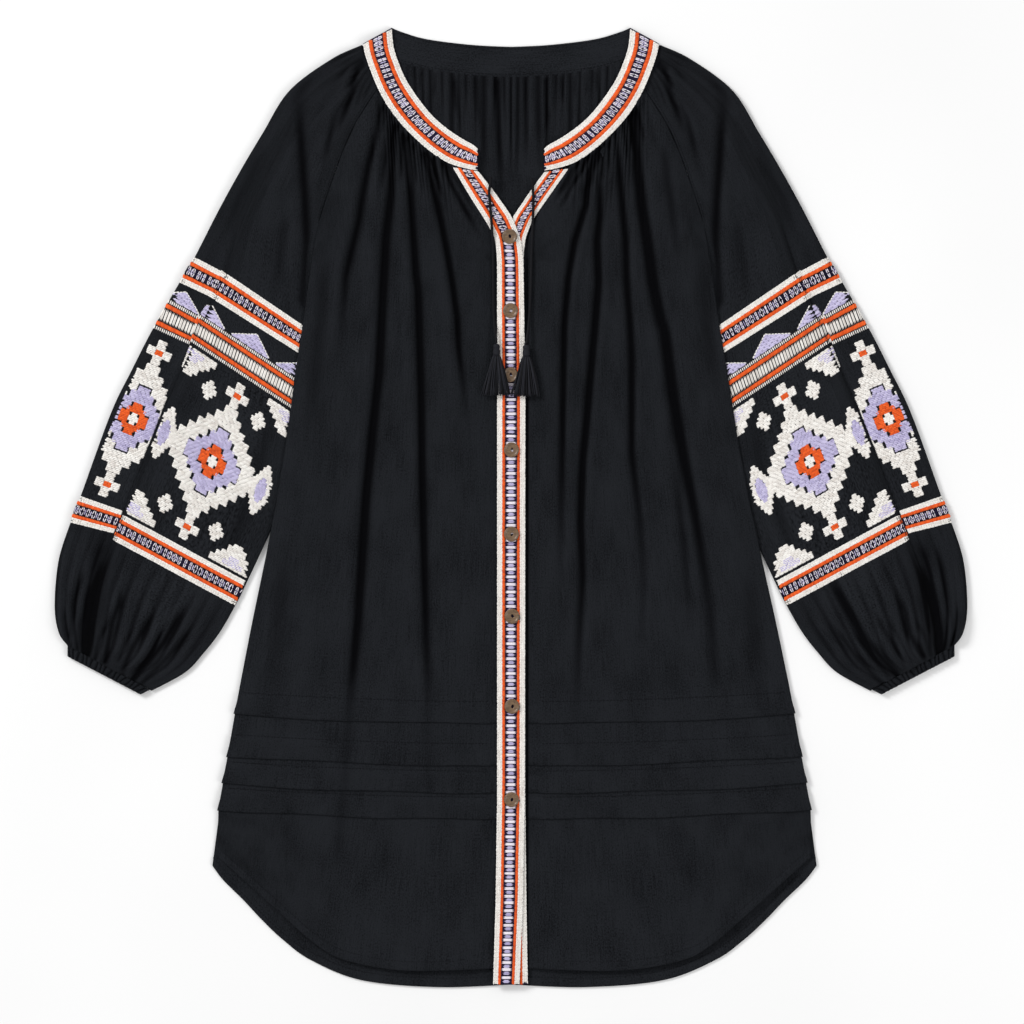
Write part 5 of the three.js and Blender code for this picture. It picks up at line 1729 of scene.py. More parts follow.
@dataclass
class Tie:
    """A thin tie of strands twisted together.

    Attributes:
        side: LEFT or RIGHT.
        route: Points that it follows.
        radius: Half its thickness.
        pitch: Length between two ridges of the twist.
    """

    side: int
    route: Table
    radius: float = 1.4
    pitch: float = 3.4
    around: int = 14

    def build(self, tassel: bpy.types.Object) -> bpy.types.Object:
        """Args:
            tassel: Not used.

        Returns:
            The finished object.
        """
        line = Route(self.route)
        path = line.along(np.linspace(0, 1, int(line.length / 0.7)))
        across, up = frames(path)
        angle = np.linspace(0, math.tau, self.around, endpoint=False)
        twist = np.linspace(0, line.length / self.pitch * math.pi, len(path))
        lobes = 0.86 + 0.14 * np.abs(np.cos(angle[None, :] - twist[:, None]))
        reach = (self.radius * lobes)[..., None]
        sideways = np.cos(angle)[None, :, None] * across[:, None]
        upwards = np.sin(angle)[None, :, None] * up[:, None]
        mesh = tube(f"tie_{SIDES[self.side]}", path[:, None] + reach * (sideways + upwards))
        write_value(mesh, "tone", np.full(len(mesh.vertices), 0.1))
        piece = place_object(mesh.name, mesh, Finish.CORD.material())
        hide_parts(f"tie_cord_{SIDES[self.side]}")
        return piece


@dataclass
class Tassel:
    """A tassel: a wound head and a skirt of fine strands fanned out over the placket.

    Attributes:
        side: LEFT or RIGHT.
        x: Place of the head's top.
        y: Place of the head's top.
        head: Length of the head.
        skirt: Length of the strands.
        z: Height of its middle line.
        lean: How far the skirt swings sideways.
        strands: Number of strands.
    """

    side: int
    x: float
    y: float
    head: float
    skirt: float
    z: float
    lean: float
    strands: int = 84
    width: float = 30.5

    def head_mesh(self) -> bpy.types.Mesh:
        """The wound head, with its thread's windings as ridges.

        Returns:
            The mesh.
        """
        down = np.linspace(0, self.head, 74)
        body = np.interp(down, [0, 1.2, 3, 4.4, 5.6, 7, self.head - 1.6, self.head],
                         [1.6, 3.1, 3.6, 3.1, 3.1, 3.7, 3.6, 2.4])
        wound = np.where((down > 3.6) & (down < 6.2), 0.16 * np.abs(np.sin(down * 3.6)), 0)
        angle = np.linspace(0, math.tau, 30, endpoint=False)
        strand = 0.12 * np.abs(np.sin(angle * 7.5))[None, :] * (wound == 0)[:, None]
        reach = body[:, None] + wound[:, None] - strand
        rings = np.stack([
            self.x + reach * np.cos(angle), np.broadcast_to(self.y - down[:, None], reach.shape),
            self.z + reach * np.sin(angle),
        ], axis=-1)
        return tube(f"tassel_head_{SIDES[self.side]}", rings)

    def skirt_rings(self) -> Array:
        """Rings of every strand of the skirt.

        Returns:
            Strands of rings of points.
        """
        dice = np.random.default_rng(21 + self.side)
        place = np.linspace(-1, 1, self.strands) + dice.normal(0, 0.03, self.strands)
        layer = np.arange(self.strands) % 3 - 1.0
        t = np.linspace(0, 1, 12)[None, :]
        wander = dice.normal(0, 1, (self.strands, 3, 1))
        fan = place[:, None] * (self.width / 2 - 0.8)
        x = self.x + mix(place[:, None] * 2.5, fan, t**0.8) + self.lean * t * t
        x = x + 0.45 * wander[:, 0] * np.sin(t * 3.0 + wander[:, 1])
        length = self.skirt - 2.4 * np.abs(wander[:, 2]) * 0.5
        y = self.y - self.head + 1.5 - length * t
        outward = np.clip(self.side * place[:, None], 0, 1)
        z = self.z + layer[:, None] * mix(1.2, 0.75, t) + 0.5 * np.sin(np.pi * t)
        z = z + t * (0.3 - 1.1 * outward) + 0.12 * wander[:, 1] * t
        path = np.stack([x, y, z], axis=-1)
        angle = np.linspace(0, math.tau, 5, endpoint=False)
        reach = mix(0.46, 0.42, t)[..., None]
        ring = np.stack([np.cos(angle), angle * 0, np.sin(angle)], axis=-1)
        return path[:, :, None] + reach[..., None] * ring

    def build(self) -> bpy.types.Object:
        """Makes head and skirt as one piece.

        Returns:
            The finished object.
        """
        whole = bmesh.new()
        head = self.head_mesh()
        whole.from_mesh(head)
        bpy.data.meshes.remove(head)
        strand = tube("strand", self.skirt_rings()[0])
        count = len(strand.vertices)
        rings = self.skirt_rings()
        order = np.empty(count * 3)
        strand.vertices.foreach_get("co", order)
        nearest = [int(np.argmin(((rings[0].reshape(-1, 3) * MM - p) ** 2).sum(axis=1)))
                   for p in order.reshape(-1, 3)]
        for bundle in rings.reshape(self.strands, -1, 3):
            write_points(strand, bundle[nearest])
            whole.from_mesh(strand)
        bpy.data.meshes.remove(strand)
        mesh = bpy.data.meshes.new(f"tassel_thread_{SIDES[self.side]}")
        whole.to_mesh(mesh)
        whole.free()
        mesh.shade_smooth()
        tone = 0.5 + 0.5 * np.sin(np.arange(len(mesh.vertices)) // count * 2.4)
        write_value(mesh, "tone", tone)
        piece = place_object(mesh.name, mesh, Finish.CORD.material())
        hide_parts(f"tassel_{SIDES[self.side]}")
        return piece


# ---------------------------------------------------------------- camera, table and light
@dataclass
class Studio:
    """The pale table, soft light and a camera looking straight down.

    Attributes:
        distance: Height of the camera above the table, in metres.
        view: Width that the camera sees at the cloth, in metres.
        centre: Point that it looks at, in millimetres.
    """

    distance: float = 4.0
    view: float = 1.024
    centre: tuple[float, float] = (1.0, -5.5)
    world: float = 0.56
    key: float = 140.0

    def camera(self) -> None:
        """Hangs the camera over the tunic, with the neck up the picture."""
        lens = bpy.data.cameras.new("camera")
        lens.sensor_width = 36.0
        lens.lens = 36.0 * self.distance / self.view
        lens.clip_end = 50.0
        camera = bpy.data.objects.new("camera", lens)
        camera.location = (self.centre[0] * MM, self.centre[1] * MM, self.distance)
        bpy.context.scene.collection.objects.link(camera)
        bpy.context.scene.camera = camera
        bpy.context.scene.view_settings.view_transform = "Standard"

    def table(self) -> None:
        """Lays the table under the tunic."""
        sheet = bmesh.new()
        bmesh.ops.create_grid(sheet, x_segments=1, y_segments=1, size=6.0)
        mesh = bpy.data.meshes.new("table")
        sheet.to_mesh(mesh)
        sheet.free()
        mesh.materials.append(Finish.TABLE.material())
        table = bpy.data.objects.new("table", mesh)
        table.data.transform(Matrix.Translation((0, 0, -0.0005)))
        bpy.context.scene.collection.objects.link(table)

    def lamp(self, name: str, place: tuple[float, float, float], size: float, power: float) -> None:
        """Hangs one soft lamp that points at the tunic.

        Args:
            name: Name of the lamp.
            place: Where it hangs, in metres.
            size: Width of its square, in metres.
            power: Its power in watts.
        """
        light = bpy.data.lights.new(name, "AREA")
        light.shape = "SQUARE"
        light.size = size
        light.energy = power
        lamp = bpy.data.objects.new(name, light)
        lamp.location = place
        lamp.rotation_euler = (-Vector(place)).to_track_quat("-Z", "Y").to_euler()
        bpy.context.scene.collection.objects.link(lamp)

    def build(self) -> None:
        """Sets up camera, table and light."""
        self.camera()
        self.table()
        world = bpy.data.worlds.new("studio")
        world.use_nodes = True
        world.node_tree.nodes["Background"].inputs["Color"].default_value = (1, 1, 1, 1)
        world.node_tree.nodes["Background"].inputs["Strength"].default_value = self.world
        bpy.context.scene.world = world
        self.lamp("key", (-3.2, 2.3, 2.6), 1.3, self.key)
        self.lamp("fill", (2.5, -1.3, 2.2), 1.6, self.key * 0.25)


# ---------------------------------------------------------------- stitches
def stitch_shape() -> tuple[Array, Array]:
    """One stitch: a thread pulled tight between two holes, thickest in its middle.

    Returns:
        Its points, 1 long along the third axis, and the corners of its faces.
    """
    shape = bmesh.new()
    bmesh.ops.create_cone(shape, cap_ends=True, segments=4, radius1=0.5, radius2=0.5, depth=0.56)
    caps = [face for face in shape.faces if abs(face.normal.z) > 0.9]
    for tip in bmesh.ops.poke(shape, faces=caps)["verts"]:
        tip.co.z *= 0.5 / 0.28
    bmesh.ops.triangulate(shape, faces=shape.faces)
    bmesh.ops.recalc_face_normals(shape, faces=shape.faces)
    shape.verts.index_update()
    points = np.array([vertex.co[:] for vertex in shape.verts])
    corners = np.array([[vertex.index for vertex in face.verts] for face in shape.faces])
    shape.free()
    return points, corners


@dataclass
class Stitches:
    """All stitches of one thread in one place, joined in one mesh.

    Attributes:
        name: Name of the piece.
        finish: The thread.
        runs: Start, end, width, height and tone of the stitches, one row each.
    """

    name: str
    finish: Finish
    runs: list[Array] = field(default_factory=list)

    def add(self, start: Array, end: Array, width: Array | float, height: Array | float,
            tone: Array | float) -> None:
        """Adds stitches between pairs of points, in millimetres.

        Args:
            start: Where each stitch starts.
            end: Where each stitch ends.
            width: Width of a stitch.
            height: Height of a stitch.
            tone: How light the thread is.
        """
        sizes = [np.broadcast_to(np.asarray(v, float), len(start))[:, None]
                 for v in (width, height, tone)]
        self.runs.append(np.hstack([start, end, *sizes]))

    def build(self, slot: str) -> bpy.types.Object | None:
        """Joins the stitches in one mesh.

        Args:
            slot: Not used.

        Returns:
            The finished object, or None where there are no stitches.
        """
        if not self.runs:
            return None
        rows = np.vstack(self.runs)
        start, end = rows[:, 0:3], rows[:, 3:6]
        points, corners = stitch_shape()
        ahead = end - start
        side = np.cross((0.0, 0.0, 1.0), ahead)
        side /= np.maximum(np.linalg.norm(side, axis=1), 1e-6)[:, None]
        up = np.cross(ahead, side)
        up /= np.maximum(np.linalg.norm(up, axis=1), 1e-6)[:, None]
        middle = (start + end) / 2
        places = (middle[:, None] + points[None, :, 2:3] * ahead[:, None]
                  + points[None, :, 0:1] * (side * rows[:, 6:7])[:, None]
                  + points[None, :, 1:2] * (up * rows[:, 7:8])[:, None])
        faces = (corners[None] + (np.arange(len(rows)) * len(points))[:, None, None]).reshape(-1, 3)
        mesh = bpy.data.meshes.new(self.name)
        mesh.vertices.add(len(rows) * len(points))
        mesh.loops.add(faces.size)
        mesh.polygons.add(len(faces))
        mesh.loops.foreach_set("vertex_index", faces.astype(np.int32).ravel())
        mesh.polygons.foreach_set("loop_start", np.arange(0, faces.size, 3, dtype=np.int32))
        write_points(mesh, places)
        mesh.validate()
        mesh.shade_smooth()
        write_value(mesh, "tone", np.repeat(rows[:, 8], len(points)))
        piece = place_object(self.name, mesh, self.finish.material())
        return piece


class Line(Enum):
    """Kinds of line in the embroidered bands."""

    CROSSES = "two rows of small crosses"
    ROPE = "slanted stitches packed into a rope"
    LADDER = "long pale bars with shorter blocks between them"
    LOOPS = "close oval loops across the line"
    BARS = "close bars across the line"
    TICKS = "short ticks across the line"


# Lines of a band from its first edge to its second: kind and share of the width.
LADDER_BAND = (
    (Line.CROSSES, 0.0, 0.175), (Line.ROPE, 0.18, 0.275), (Line.LADDER, 0.285, 0.705),
    (Line.ROPE, 0.715, 0.81), (Line.CROSSES, 0.82, 1.0),
)
LOOP_BAND = (
    (Line.CROSSES, 0.0, 0.18), (Line.ROPE, 0.18, 0.32), (Line.LOOPS, 0.33, 0.67),
    (Line.ROPE, 0.68, 0.82), (Line.CROSSES, 0.82, 1.0),
)
BAR_BAND = (
    (Line.TICKS, 0.0, 0.13), (Line.ROPE, 0.14, 0.28), (Line.BARS, 0.29, 0.71),
    (Line.ROPE, 0.72, 0.86), (Line.TICKS, 0.87, 1.0),
)


@dataclass
class Needlework:
    """Embroidery on one piece of cloth, laid out along and across it in millimetres.

    Attributes:
        name: Name that its pieces start with.
        place: Gives points for distances along and across.
        keep: Says which distances are on the cloth.
        seed: Start of its small irregularities.
        underlay: Length of the stitches below the crosses.
        limits: Distances along where filled shapes are cut off.
    """

    name: str
    place: object
    keep: object
    seed: int = 3
    underlay: float = 4.6
    limits: tuple[float, float] = (-1e3, 1e3)

    def __post_init__(self) -> None:
        """Threads the needles."""
        self.dice = np.random.default_rng(self.seed)
        self.threads: dict[Finish, Stitches] = {}

    def sew(self, finish: Finish, along: tuple[Array, Array], across: tuple[Array, Array],
            width: float, height: float = 0.8, tone: float = 0.55) -> None:
        """Sews stitches of one thread.

        Args:
            finish: The thread.
            along: Distances along the band of both ends.
            across: Distances across the band of both ends.
            width: Width of a stitch.
            height: Thickness of a stitch.
            tone: How light it is, from 0 to 1.
        """
        first, second = [np.atleast_1d(np.asarray(v, float)) for v in along]
        low, high = [np.broadcast_to(np.asarray(v, float), first.shape) for v in across]
        held = self.keep(first, low) & self.keep(second, high)
        if not held.any():
            return
        count = int(held.sum())
        wobble = self.dice.normal(0, 0.09, (4, count))
        start = self.place(first[held] + wobble[0], low[held] + wobble[1])
        end = self.place(second[held] + wobble[2], high[held] + wobble[3])
        long = np.linalg.norm(end - start, axis=1) > 0.4
        start, end = start[long], end[long]
        tones = np.clip(tone + self.dice.normal(0, 0.16, len(start)), 0, 1)
        widths = width * (1 + self.dice.normal(0, 0.07, len(start)))
        name = f"{self.name}_{finish.name.lower()}"
        thread = self.threads.setdefault(finish, Stitches(name, finish))
        thread.add(start, end, widths, height, tones)

    def line(self, kind: Line, start: float, stop: float, low: float, high: float,
             pitch: float = 7.4) -> None:
        """Sews one line of a band.

        Args:
            kind: Its kind.
            start: Distance along the band where it starts.
            stop: Distance where it stops.
            low: Distance across the band of its one side.
            high: Distance across of its other side.
            pitch: Distance between two bars of a ladder.
        """
        wide = high - low
        if kind is Line.CROSSES:
            size = wide / 2
            s = np.arange(start, stop, self.underlay)
            end = np.minimum(s + self.underlay * 1.5, stop)
            for k in range(3):
                level = low + (k + 0.5) * wide / 3
                self.sew(Finish.CREAM, (s, end), (level, level), wide / 2.5, 0.5, 0.5)
            s = np.arange(start, stop - size, 2.5)
            for row in (0, 1):
                base = low + row * size
                self.sew(Finish.CREAM, (s, s + 2.3), (base + 0.15, base + size - 0.1), 1.05)
                self.sew(Finish.CREAM, (s, s + 2.3), (base + size - 0.1, base + 0.15), 1.05, 1.2)
            for edge in (low + 0.15, high - 0.15):
                s = np.arange(start, stop, 3.9)
                self.sew(Finish.CREAM, (s, s + 4.2), (edge, edge), 0.85, 1.0, 0.8)
        elif kind is Line.ROPE:
            s = np.arange(start, stop, 1.55)
            self.sew(Finish.ORANGE, (s, s + 1.6), (low - 0.2, high + 0.2), 2.0, 1.3)
        elif kind is Line.LADDER:
            self.ladder(start, stop, low, high, pitch)
        elif kind is Line.LOOPS:
            self.loops(start, stop, low, high, pitch)
        elif kind is Line.BARS:
            s = np.arange(start + 0.8, stop, 3.35)
            for shift in (-0.62, 0.62):
                self.sew(Finish.CREAM, (s + shift, s + shift), (low, high), 1.3, 0.9, 0.55)
        else:
            s = np.arange(start + 0.5, stop, 2.15)
            self.sew(Finish.CREAM, (s, s), (low, high), 1.35, 0.8, 0.55)

    def ladder(self, start: float, stop: float, low: float, high: float, pitch: float) -> None:
        """Sews the pale bars across a band, with a shorter block of satin stitches between them.

        Args:
            start: Distance along the band where they start.
            stop: Distance where they stop.
            low: Distance across the band of its one side.
            high: Distance across of its other side.
            pitch: Distance between two bars.
        """
        wide = high - low
        s = np.arange(start + 1.6, stop - 1.2, pitch)
        s = s + self.dice.normal(0, 0.25, len(s))
        for shift in (-0.85, 0, 0.85):
            self.sew(Finish.PINKISH, (s + shift, s + shift), (low + 0.1, high - 0.1),
                     1.2, 0.95, 0.8)
        middle = s + pitch / 2
        middle = middle[middle < stop - 1.5]
        for shift, trim in ((-1.1, 0.24), (-0.1, 0.12), (0.9, 0.2)):
            self.sew(Finish.LAVENDER, (middle + shift, middle + shift),
                     (low + trim * wide, high - trim * wide), 1.15, 0.85, 0.55)

    def loops(self, start: float, stop: float, low: float, high: float, pitch: float) -> None:
        """Sews close oval loops across a band, each round a short satin stitch.

        Args:
            start: Distance along the band where they start.
            stop: Distance where they stop.
            low: Distance across the band of its one side.
            high: Distance across of its other side.
            pitch: Distance between two loops.
        """
        middle, reach = (low + high) / 2, (high - low) / 2 * 0.98
        s = np.arange(start + 2.0, stop - 1.0, pitch)
        s = s + self.dice.normal(0, 0.3, len(s))
        bulge = 1.35 + self.dice.normal(0, 0.25, len(s))
        for way in (-1, 1):
            for end in (-1, 1):
                self.sew(Finish.PINKISH, (s + way * 0.5, s + way * bulge),
                         (middle + end * reach, middle - end * 0.06), 1.1, 0.95, 0.75)
        filled = s[self.dice.random(len(s)) < 0.45]
        self.sew(Finish.LAVENDER, (filled, filled),
                 (middle - 0.5 * reach, middle + 0.5 * reach), 1.0, 0.7)
        s = s[:-1] + pitch / 2
        s = s[self.dice.random(len(s)) < 0.7]
        self.sew(Finish.LAVENDER, (s, s), (middle - 0.8 * reach, middle + 0.8 * reach),
                 1.1, 0.8, 0.7)

    def band(self, lines: tuple, start: float, stop: float, low: float, wide: float,
             pitch: float = 7.4) -> None:
        """Sews all lines of a band, from low across it."""
        for kind, first, last in lines:
            self.line(kind, start, stop, low + first * wide, low + last * wide, pitch)

    def fill(self, finish: Finish, along: float, across: float,
             spans: list[tuple[float, float, float]],
             brick: float = 5.0, tone: float = 0.6) -> None:
        """Fills a shape with rows of stitches that run along the band.

        Args:
            finish: The thread.
            along: Place of the shape's middle along the band.
            across: Place of its middle across the band.
            spans: For each row its distance across, and where it starts and stops along.
            brick: Length of one stitch.
            tone: How light the thread is.
        """
        for k, (down, start, stop) in enumerate(spans):
            start = max(start, self.limits[0] - along)
            stop = min(stop, self.limits[1] - along)
            cuts = np.arange(start + (k % 3) * brick / 3 - brick, stop, brick)
            first = np.clip(cuts, start, stop)
            last = np.clip(cuts + brick, start, stop)
            long = last - first > 0.9
            if long.any():
                self.sew(finish, (along + first[long] - 0.5, along + last[long] + 0.5),
                         (across + down, across + down), 2.15, 0.85, tone)

    def finish(self, slot: str = "embroidery") -> list[bpy.types.Object]:
        """Ends off the threads, one piece for each."""
        return [piece for thread in self.threads.values() if (piece := thread.build(slot))]


def stepped(reach: float, tall: float, rise: float, row: float = 1.7,
            hollow: float = 0.0) -> list[tuple[float, float, float]]:
    """Rows of a stepped diamond, or of its rim where it has a hollow.

    Args:
        reach: Half its length along the band.
        tall: Half its height across the band.
        rise: Height of one step.
        row: Distance between rows.
        hollow: Size of the hollow as a share of the whole.

    Returns:
        For each row its distance across, and where it starts and stops along.
    """

    def half(size: float, down: float) -> float:
        """Half length of the diamond of a size at a distance across.

        Args:
            size: Size of the diamond.
            down: Distance across from its middle.

        Returns:
            The half length.
        """
        steps = max(round(tall * size / rise), 1)
        step = math.floor(abs(down) / (tall * size) * steps)
        return reach * size * max(1 - step / steps, 0) if step < steps else 0.0

    rows = []
    count = int(tall / row)
    for k in range(-count, count + 1):
        down = k * row
        outer = half(1.0, down)
        inner = half(hollow, down) if hollow else 0.0
        if outer <= 0:
            continue
        if inner > 0:
            rows += [(down, -outer, -inner), (down, inner, outer)]
        else:
            rows.append((down, -outer, outer))
    return rows


def triangle(reach: float, tall: float, row: float = 1.7) -> list[tuple[float, float, float]]:
    """Rows of a triangle that stands on a band, its point at distance -tall."""
    count = int(tall / row)
    return [(-k * row - 0.6, -reach * (1 - k / count), reach * (1 - k / count))
            for k in range(count)]


# ---------------------------------------------------------------- embroidered sleeves
# Middle of the medallions across the pattern, spacing of the triangles, and no limit at all.
PATTERN_MIDDLE = 170
TRIANGLE_PITCH = 53
FAR_OFF = 1e3
# Where the bands' edges cross a sleeve: distance down the pattern, then half width and height at
# the outer fold and at the pleat, and at the pleat and at the inner seam.
OUTER_PATCH = (
    (0, 317, 249.5, 289, 234.5), (28, 332, 224.5, 300, 209.5), (50, 341.7, 207.5, 311.9, 190.5),
    (80, 358, 178.1, 322.2, 161.8), (260, 431, 10.5, 388, -4.5), (286, 441, -15.5, 397, -26.5),
)
MAIN_PATCH = (
    (0, 288, 235, 209, 181.5), (28, 300, 209, 212, 153.5), (50, 310.3, 191.7, 214.8, 128.2),
    (80, 319.5, 164, 219.2, 97.3), (260, 387, -8.5, 267, -73.5), (286, 397, -33.5, 278, -97.5),
)
V_LENGTH = {"band_upper": 78.0, "band_under": 96.0}
PLEAT_TAKES = 24.0
SOFT_PLEAT = 60.0
MEDALLION_PITCH = 112.0
MEDALLION_FROM = 64.0


@dataclass
class SleevePattern:
    """Embroidery of one sleeve: three bands, a row of triangles and stepped medallions.

    Attributes:
        side: LEFT or RIGHT.
        cloth: The sleeve's cloth.
    """

    side: int
    cloth: BVHTree

    def needle(self, name: str, table: Table, start: float, outward: bool) -> Needlework:
        """Embroidery on one of the two stretches that the pleat leaves in sight.

        Args:
            name: Name of the stretch.
            table: Its edges.
            start: Place along the pattern of its end at the pleat.
            outward: Whether it runs from the pleat to the outer fold.

        Returns:
            The needlework, with nothing sewn yet.
        """

        def ends(across: Array) -> tuple[Array, Array]:
            """Both ends of the stretch at distances across.

            Args:
                across: Distances across.

            Returns:
                Where the stretch starts and stops.
            """
            columns = [read(table, across, 0, k) for k in (1, 2, 3, 4)]
            outer, inner = np.stack(columns[:2], -1), np.stack(columns[2:], -1)
            return (inner, outer) if outward else (outer, inner)

        def run(along: Array, across: Array) -> tuple[Array, Array]:
            """Distance from the pleat and the stretch's length there."""
            pleat, far = ends(across)
            return (along - start) * (-1 if outward else 1), np.linalg.norm(far - pleat, axis=-1)

        def keep(along: Array, across: Array) -> Array:
            """Whether places lie on the stretch."""
            travel, length = run(along, across)
            return (travel < length + (1.4 if outward else 3.0)) & (travel > -2.2)

        def place(along: Array, across: Array) -> Array:
            """Points on the cloth.

            Args:
                along: Distances along.
                across: Distances across.

            Returns:
                The points.
            """
            pleat, far = ends(across)
            travel, length = run(along, across)
            travel = np.minimum(travel, length - 0.8) if outward else travel
            travel = np.maximum(travel, np.where(across < SOFT_PLEAT, -1.8, -0.4))
            flat = mix(pleat, far, (travel / length)[:, None])
            x = self.side * flat[:, 0]
            z = drop_height(self.cloth, x, flat[:, 1], 4.4)
            return np.column_stack([x, flat[:, 1], z + 0.22])

        return Needlework(f"stitch_{name}_{SIDES[self.side]}", place, keep, 5 + self.side)

    def pattern(self, work: Needlework, start: float, stop: float) -> None:
        """Sews the whole pattern between two places along it.

        Args:
            work: The needlework.
            start: Where the stretch starts.
            stop: Where it stops.
        """
        for low, wide in ((0, 28), (260, 26)):
            s = np.arange(start, stop, 1.25)
            work.sew(Finish.NAVY_THREAD, (s, s), (low + 0.32 * wide, low + 0.68 * wide),
                     1.5, 0.4, 0.3)
            work.band(LOOP_BAND, start, stop, low, wide, 5.8)
        work.band(BAR_BAND, start, stop, 50, 30)
        self.triangles(work, start)
        self.medallions(work, start, stop)

    def triangles(self, work: Needlework, start: float) -> None:
        """Sews the row of triangles that stands on the middle band.

        Args:
            work: The needlework.
            start: Where it starts.
        """
        first = math.floor((start - 6) / TRIANGLE_PITCH) - 1
        for k in range(first, first + 6):
            work.fill(Finish.LAVENDER, 6 + TRIANGLE_PITCH * k, 49.4, triangle(22, 14, 1.55), 9, 0.7)
            edge = np.linspace(0, 1, 9)
            for way in (-1, 1):
                s = 6 + TRIANGLE_PITCH * k + way * 22.6 * (1 - edge)
                t = 48.6 - 14 * edge
                work.sew(Finish.CREAM, (s[:-1], s[1:]), (t[:-1], t[1:]), 1.3, 0.9, 0.7)

    def medallions(self, work: Needlework, start: float, stop: float) -> None:
        """Sews the medallions, with the small motifs that fill the places between them.

        Args:
            work: The needlework.
            start: Where it starts.
            stop: Where it stops.
        """
        first = math.floor((start - MEDALLION_FROM) / MEDALLION_PITCH) - 1
        for k in range(first, first + 5):
            middle = MEDALLION_FROM + MEDALLION_PITCH * k
            work.fill(Finish.CREAM, middle, PATTERN_MIDDLE, stepped(51, 57, 8.1, hollow=0.6))
            work.fill(Finish.LAVENDER, middle, PATTERN_MIDDLE,
                      stepped(30.5, 34, 6.8, hollow=0.48), 5, 0.62)
            work.fill(Finish.ORANGE, middle, PATTERN_MIDDLE,
                      stepped(14.6, 16.5, 5.5, hollow=0.36), 4.5)
            work.fill(Finish.CREAM, middle, PATTERN_MIDDLE, stepped(5.2, 6, 3), 4, 0.8)
            self.between(work, middle + MEDALLION_PITCH / 2)
            for away in (-1, 1):
                self.cross(work, middle, PATTERN_MIDDLE + away * 70)
                for aside in (-1, 1):
                    if start < middle + aside * 29 < stop:
                        work.fill(Finish.CREAM, middle + aside * 29,
                                  PATTERN_MIDDLE + away * 60, stepped(8, 9, 3))

    def between(self, work: Needlework, middle: float) -> None:
        """Sews the tall lozenge and the two stepped hills between two medallions.

        Args:
            work: The needlework.
            middle: Place of the middle along.
        """
        work.fill(Finish.CREAM, middle, PATTERN_MIDDLE, stepped(14, 27, 4.5, hollow=0.5))
        work.fill(Finish.LAVENDER, middle, PATTERN_MIDDLE, stepped(6.4, 13, 4.3), 4, 0.6)
        for away in (-1, 1):
            hill = [(down, a, b) for down, a, b in stepped(25, 25.5, 5.1) if down * away <= 0.1]
            work.fill(Finish.CREAM, middle, PATTERN_MIDDLE + away * 86, hill)
            rim = [(down, a, b) for down, a, b in stepped(11, 10.2, 5.1) if down * away <= 0.1]
            work.fill(Finish.LAVENDER, middle, PATTERN_MIDDLE + away * 84, rim, 4, 0.6)

    def cross(self, work: Needlework, middle: float, across: float) -> None:
        """Sews a small cross with an orange heart.

        Args:
            work: The needlework.
            middle: Place of the middle along.
            across: Place of the middle across.
        """
        rows = [(k * 1.7, -(12.5 if abs(k) < 3 else 4.6), 12.5 if abs(k) < 3 else 4.6)
                for k in range(-7, 8) if abs(k) > 1]
        work.fill(Finish.CREAM, middle, across, rows)
        for way in (-1, 1):
            sides = [(k * 1.7, min(way * 4.2, way * 12.5), max(way * 4.2, way * 12.5))
                     for k in (-1, 0, 1)]
            work.fill(Finish.CREAM, middle, across, sides)
        work.fill(Finish.ORANGE, middle, across, [(k * 1.7, -3.6, 3.6) for k in (-1, 0, 1)], 3.6)

    def build(self) -> list[bpy.types.Object]:
        """Sews both stretches of the pattern.

        Returns:
            The sewn pieces.
        """
        main = self.needle("main", MAIN_PATCH, 0.0, False)
        main.limits = (-0.2, FAR_OFF)
        self.pattern(main, -1.8, 150.0)
        outer = self.needle("outer", OUTER_PATCH, -PLEAT_TAKES, True)
        outer.limits = (-FAR_OFF, 0.2 - PLEAT_TAKES)
        self.pattern(outer, -PLEAT_TAKES - 62.0, -PLEAT_TAKES + 1.8)
        return main.finish() + outer.finish()


def sew_strip(strip: Strip, lines: tuple, start: float, stop: float, pitch: float,
              hidden: float = 0.0) -> list[bpy.types.Object]:
    """Embroiders a neckband or placket between two distances along it.

    Args:
        strip: The band.
        lines: Its lines of stitches.
        start: Where the stitching starts.
        stop: Where it stops.
        pitch: Distance between the bars or loops of its middle line.
        hidden: Share of its width that another band covers, from its first edge.

    Returns:
        The pieces sewn.
    """
    buttons = np.array(BUTTONS) if strip.name == "band_upper" else np.full((1, 2), 1e3)

    def place(along: Array, across: Array) -> Array:
        """Points on the band.

        Args:
            along: Distances along.
            across: Distances across.

        Returns:
            The points.
        """
        share = across / strip.width
        flat = strip.point(along, share)
        return np.column_stack([flat, strip.height(along, share) + 0.18])

    def keep(along: Array, across: Array) -> Array:
        """Whether places lie in sight on the band and clear of the buttons' holes.

        Args:
            along: Distances along.
            across: Distances across.

        Returns:
            True where a stitch stays.
        """
        flat = strip.point(along, across / strip.width)
        away = np.linalg.norm(flat[:, None] - buttons[None], axis=2).min(axis=1)
        shown = across > hidden * strip.width
        return shown & (along > -0.5) & (along < strip.length + 0.5) & (away > 5.2)

    name = f"stitch_{strip.name}_{round(start)}"
    work = Needlework(name, place, keep, 11, 9.0 if lines is LADDER_BAND else 4.5)
    margin = 0.35
    work.band(lines, start, stop, margin, strip.width - 2 * margin, pitch)
    return work.finish()


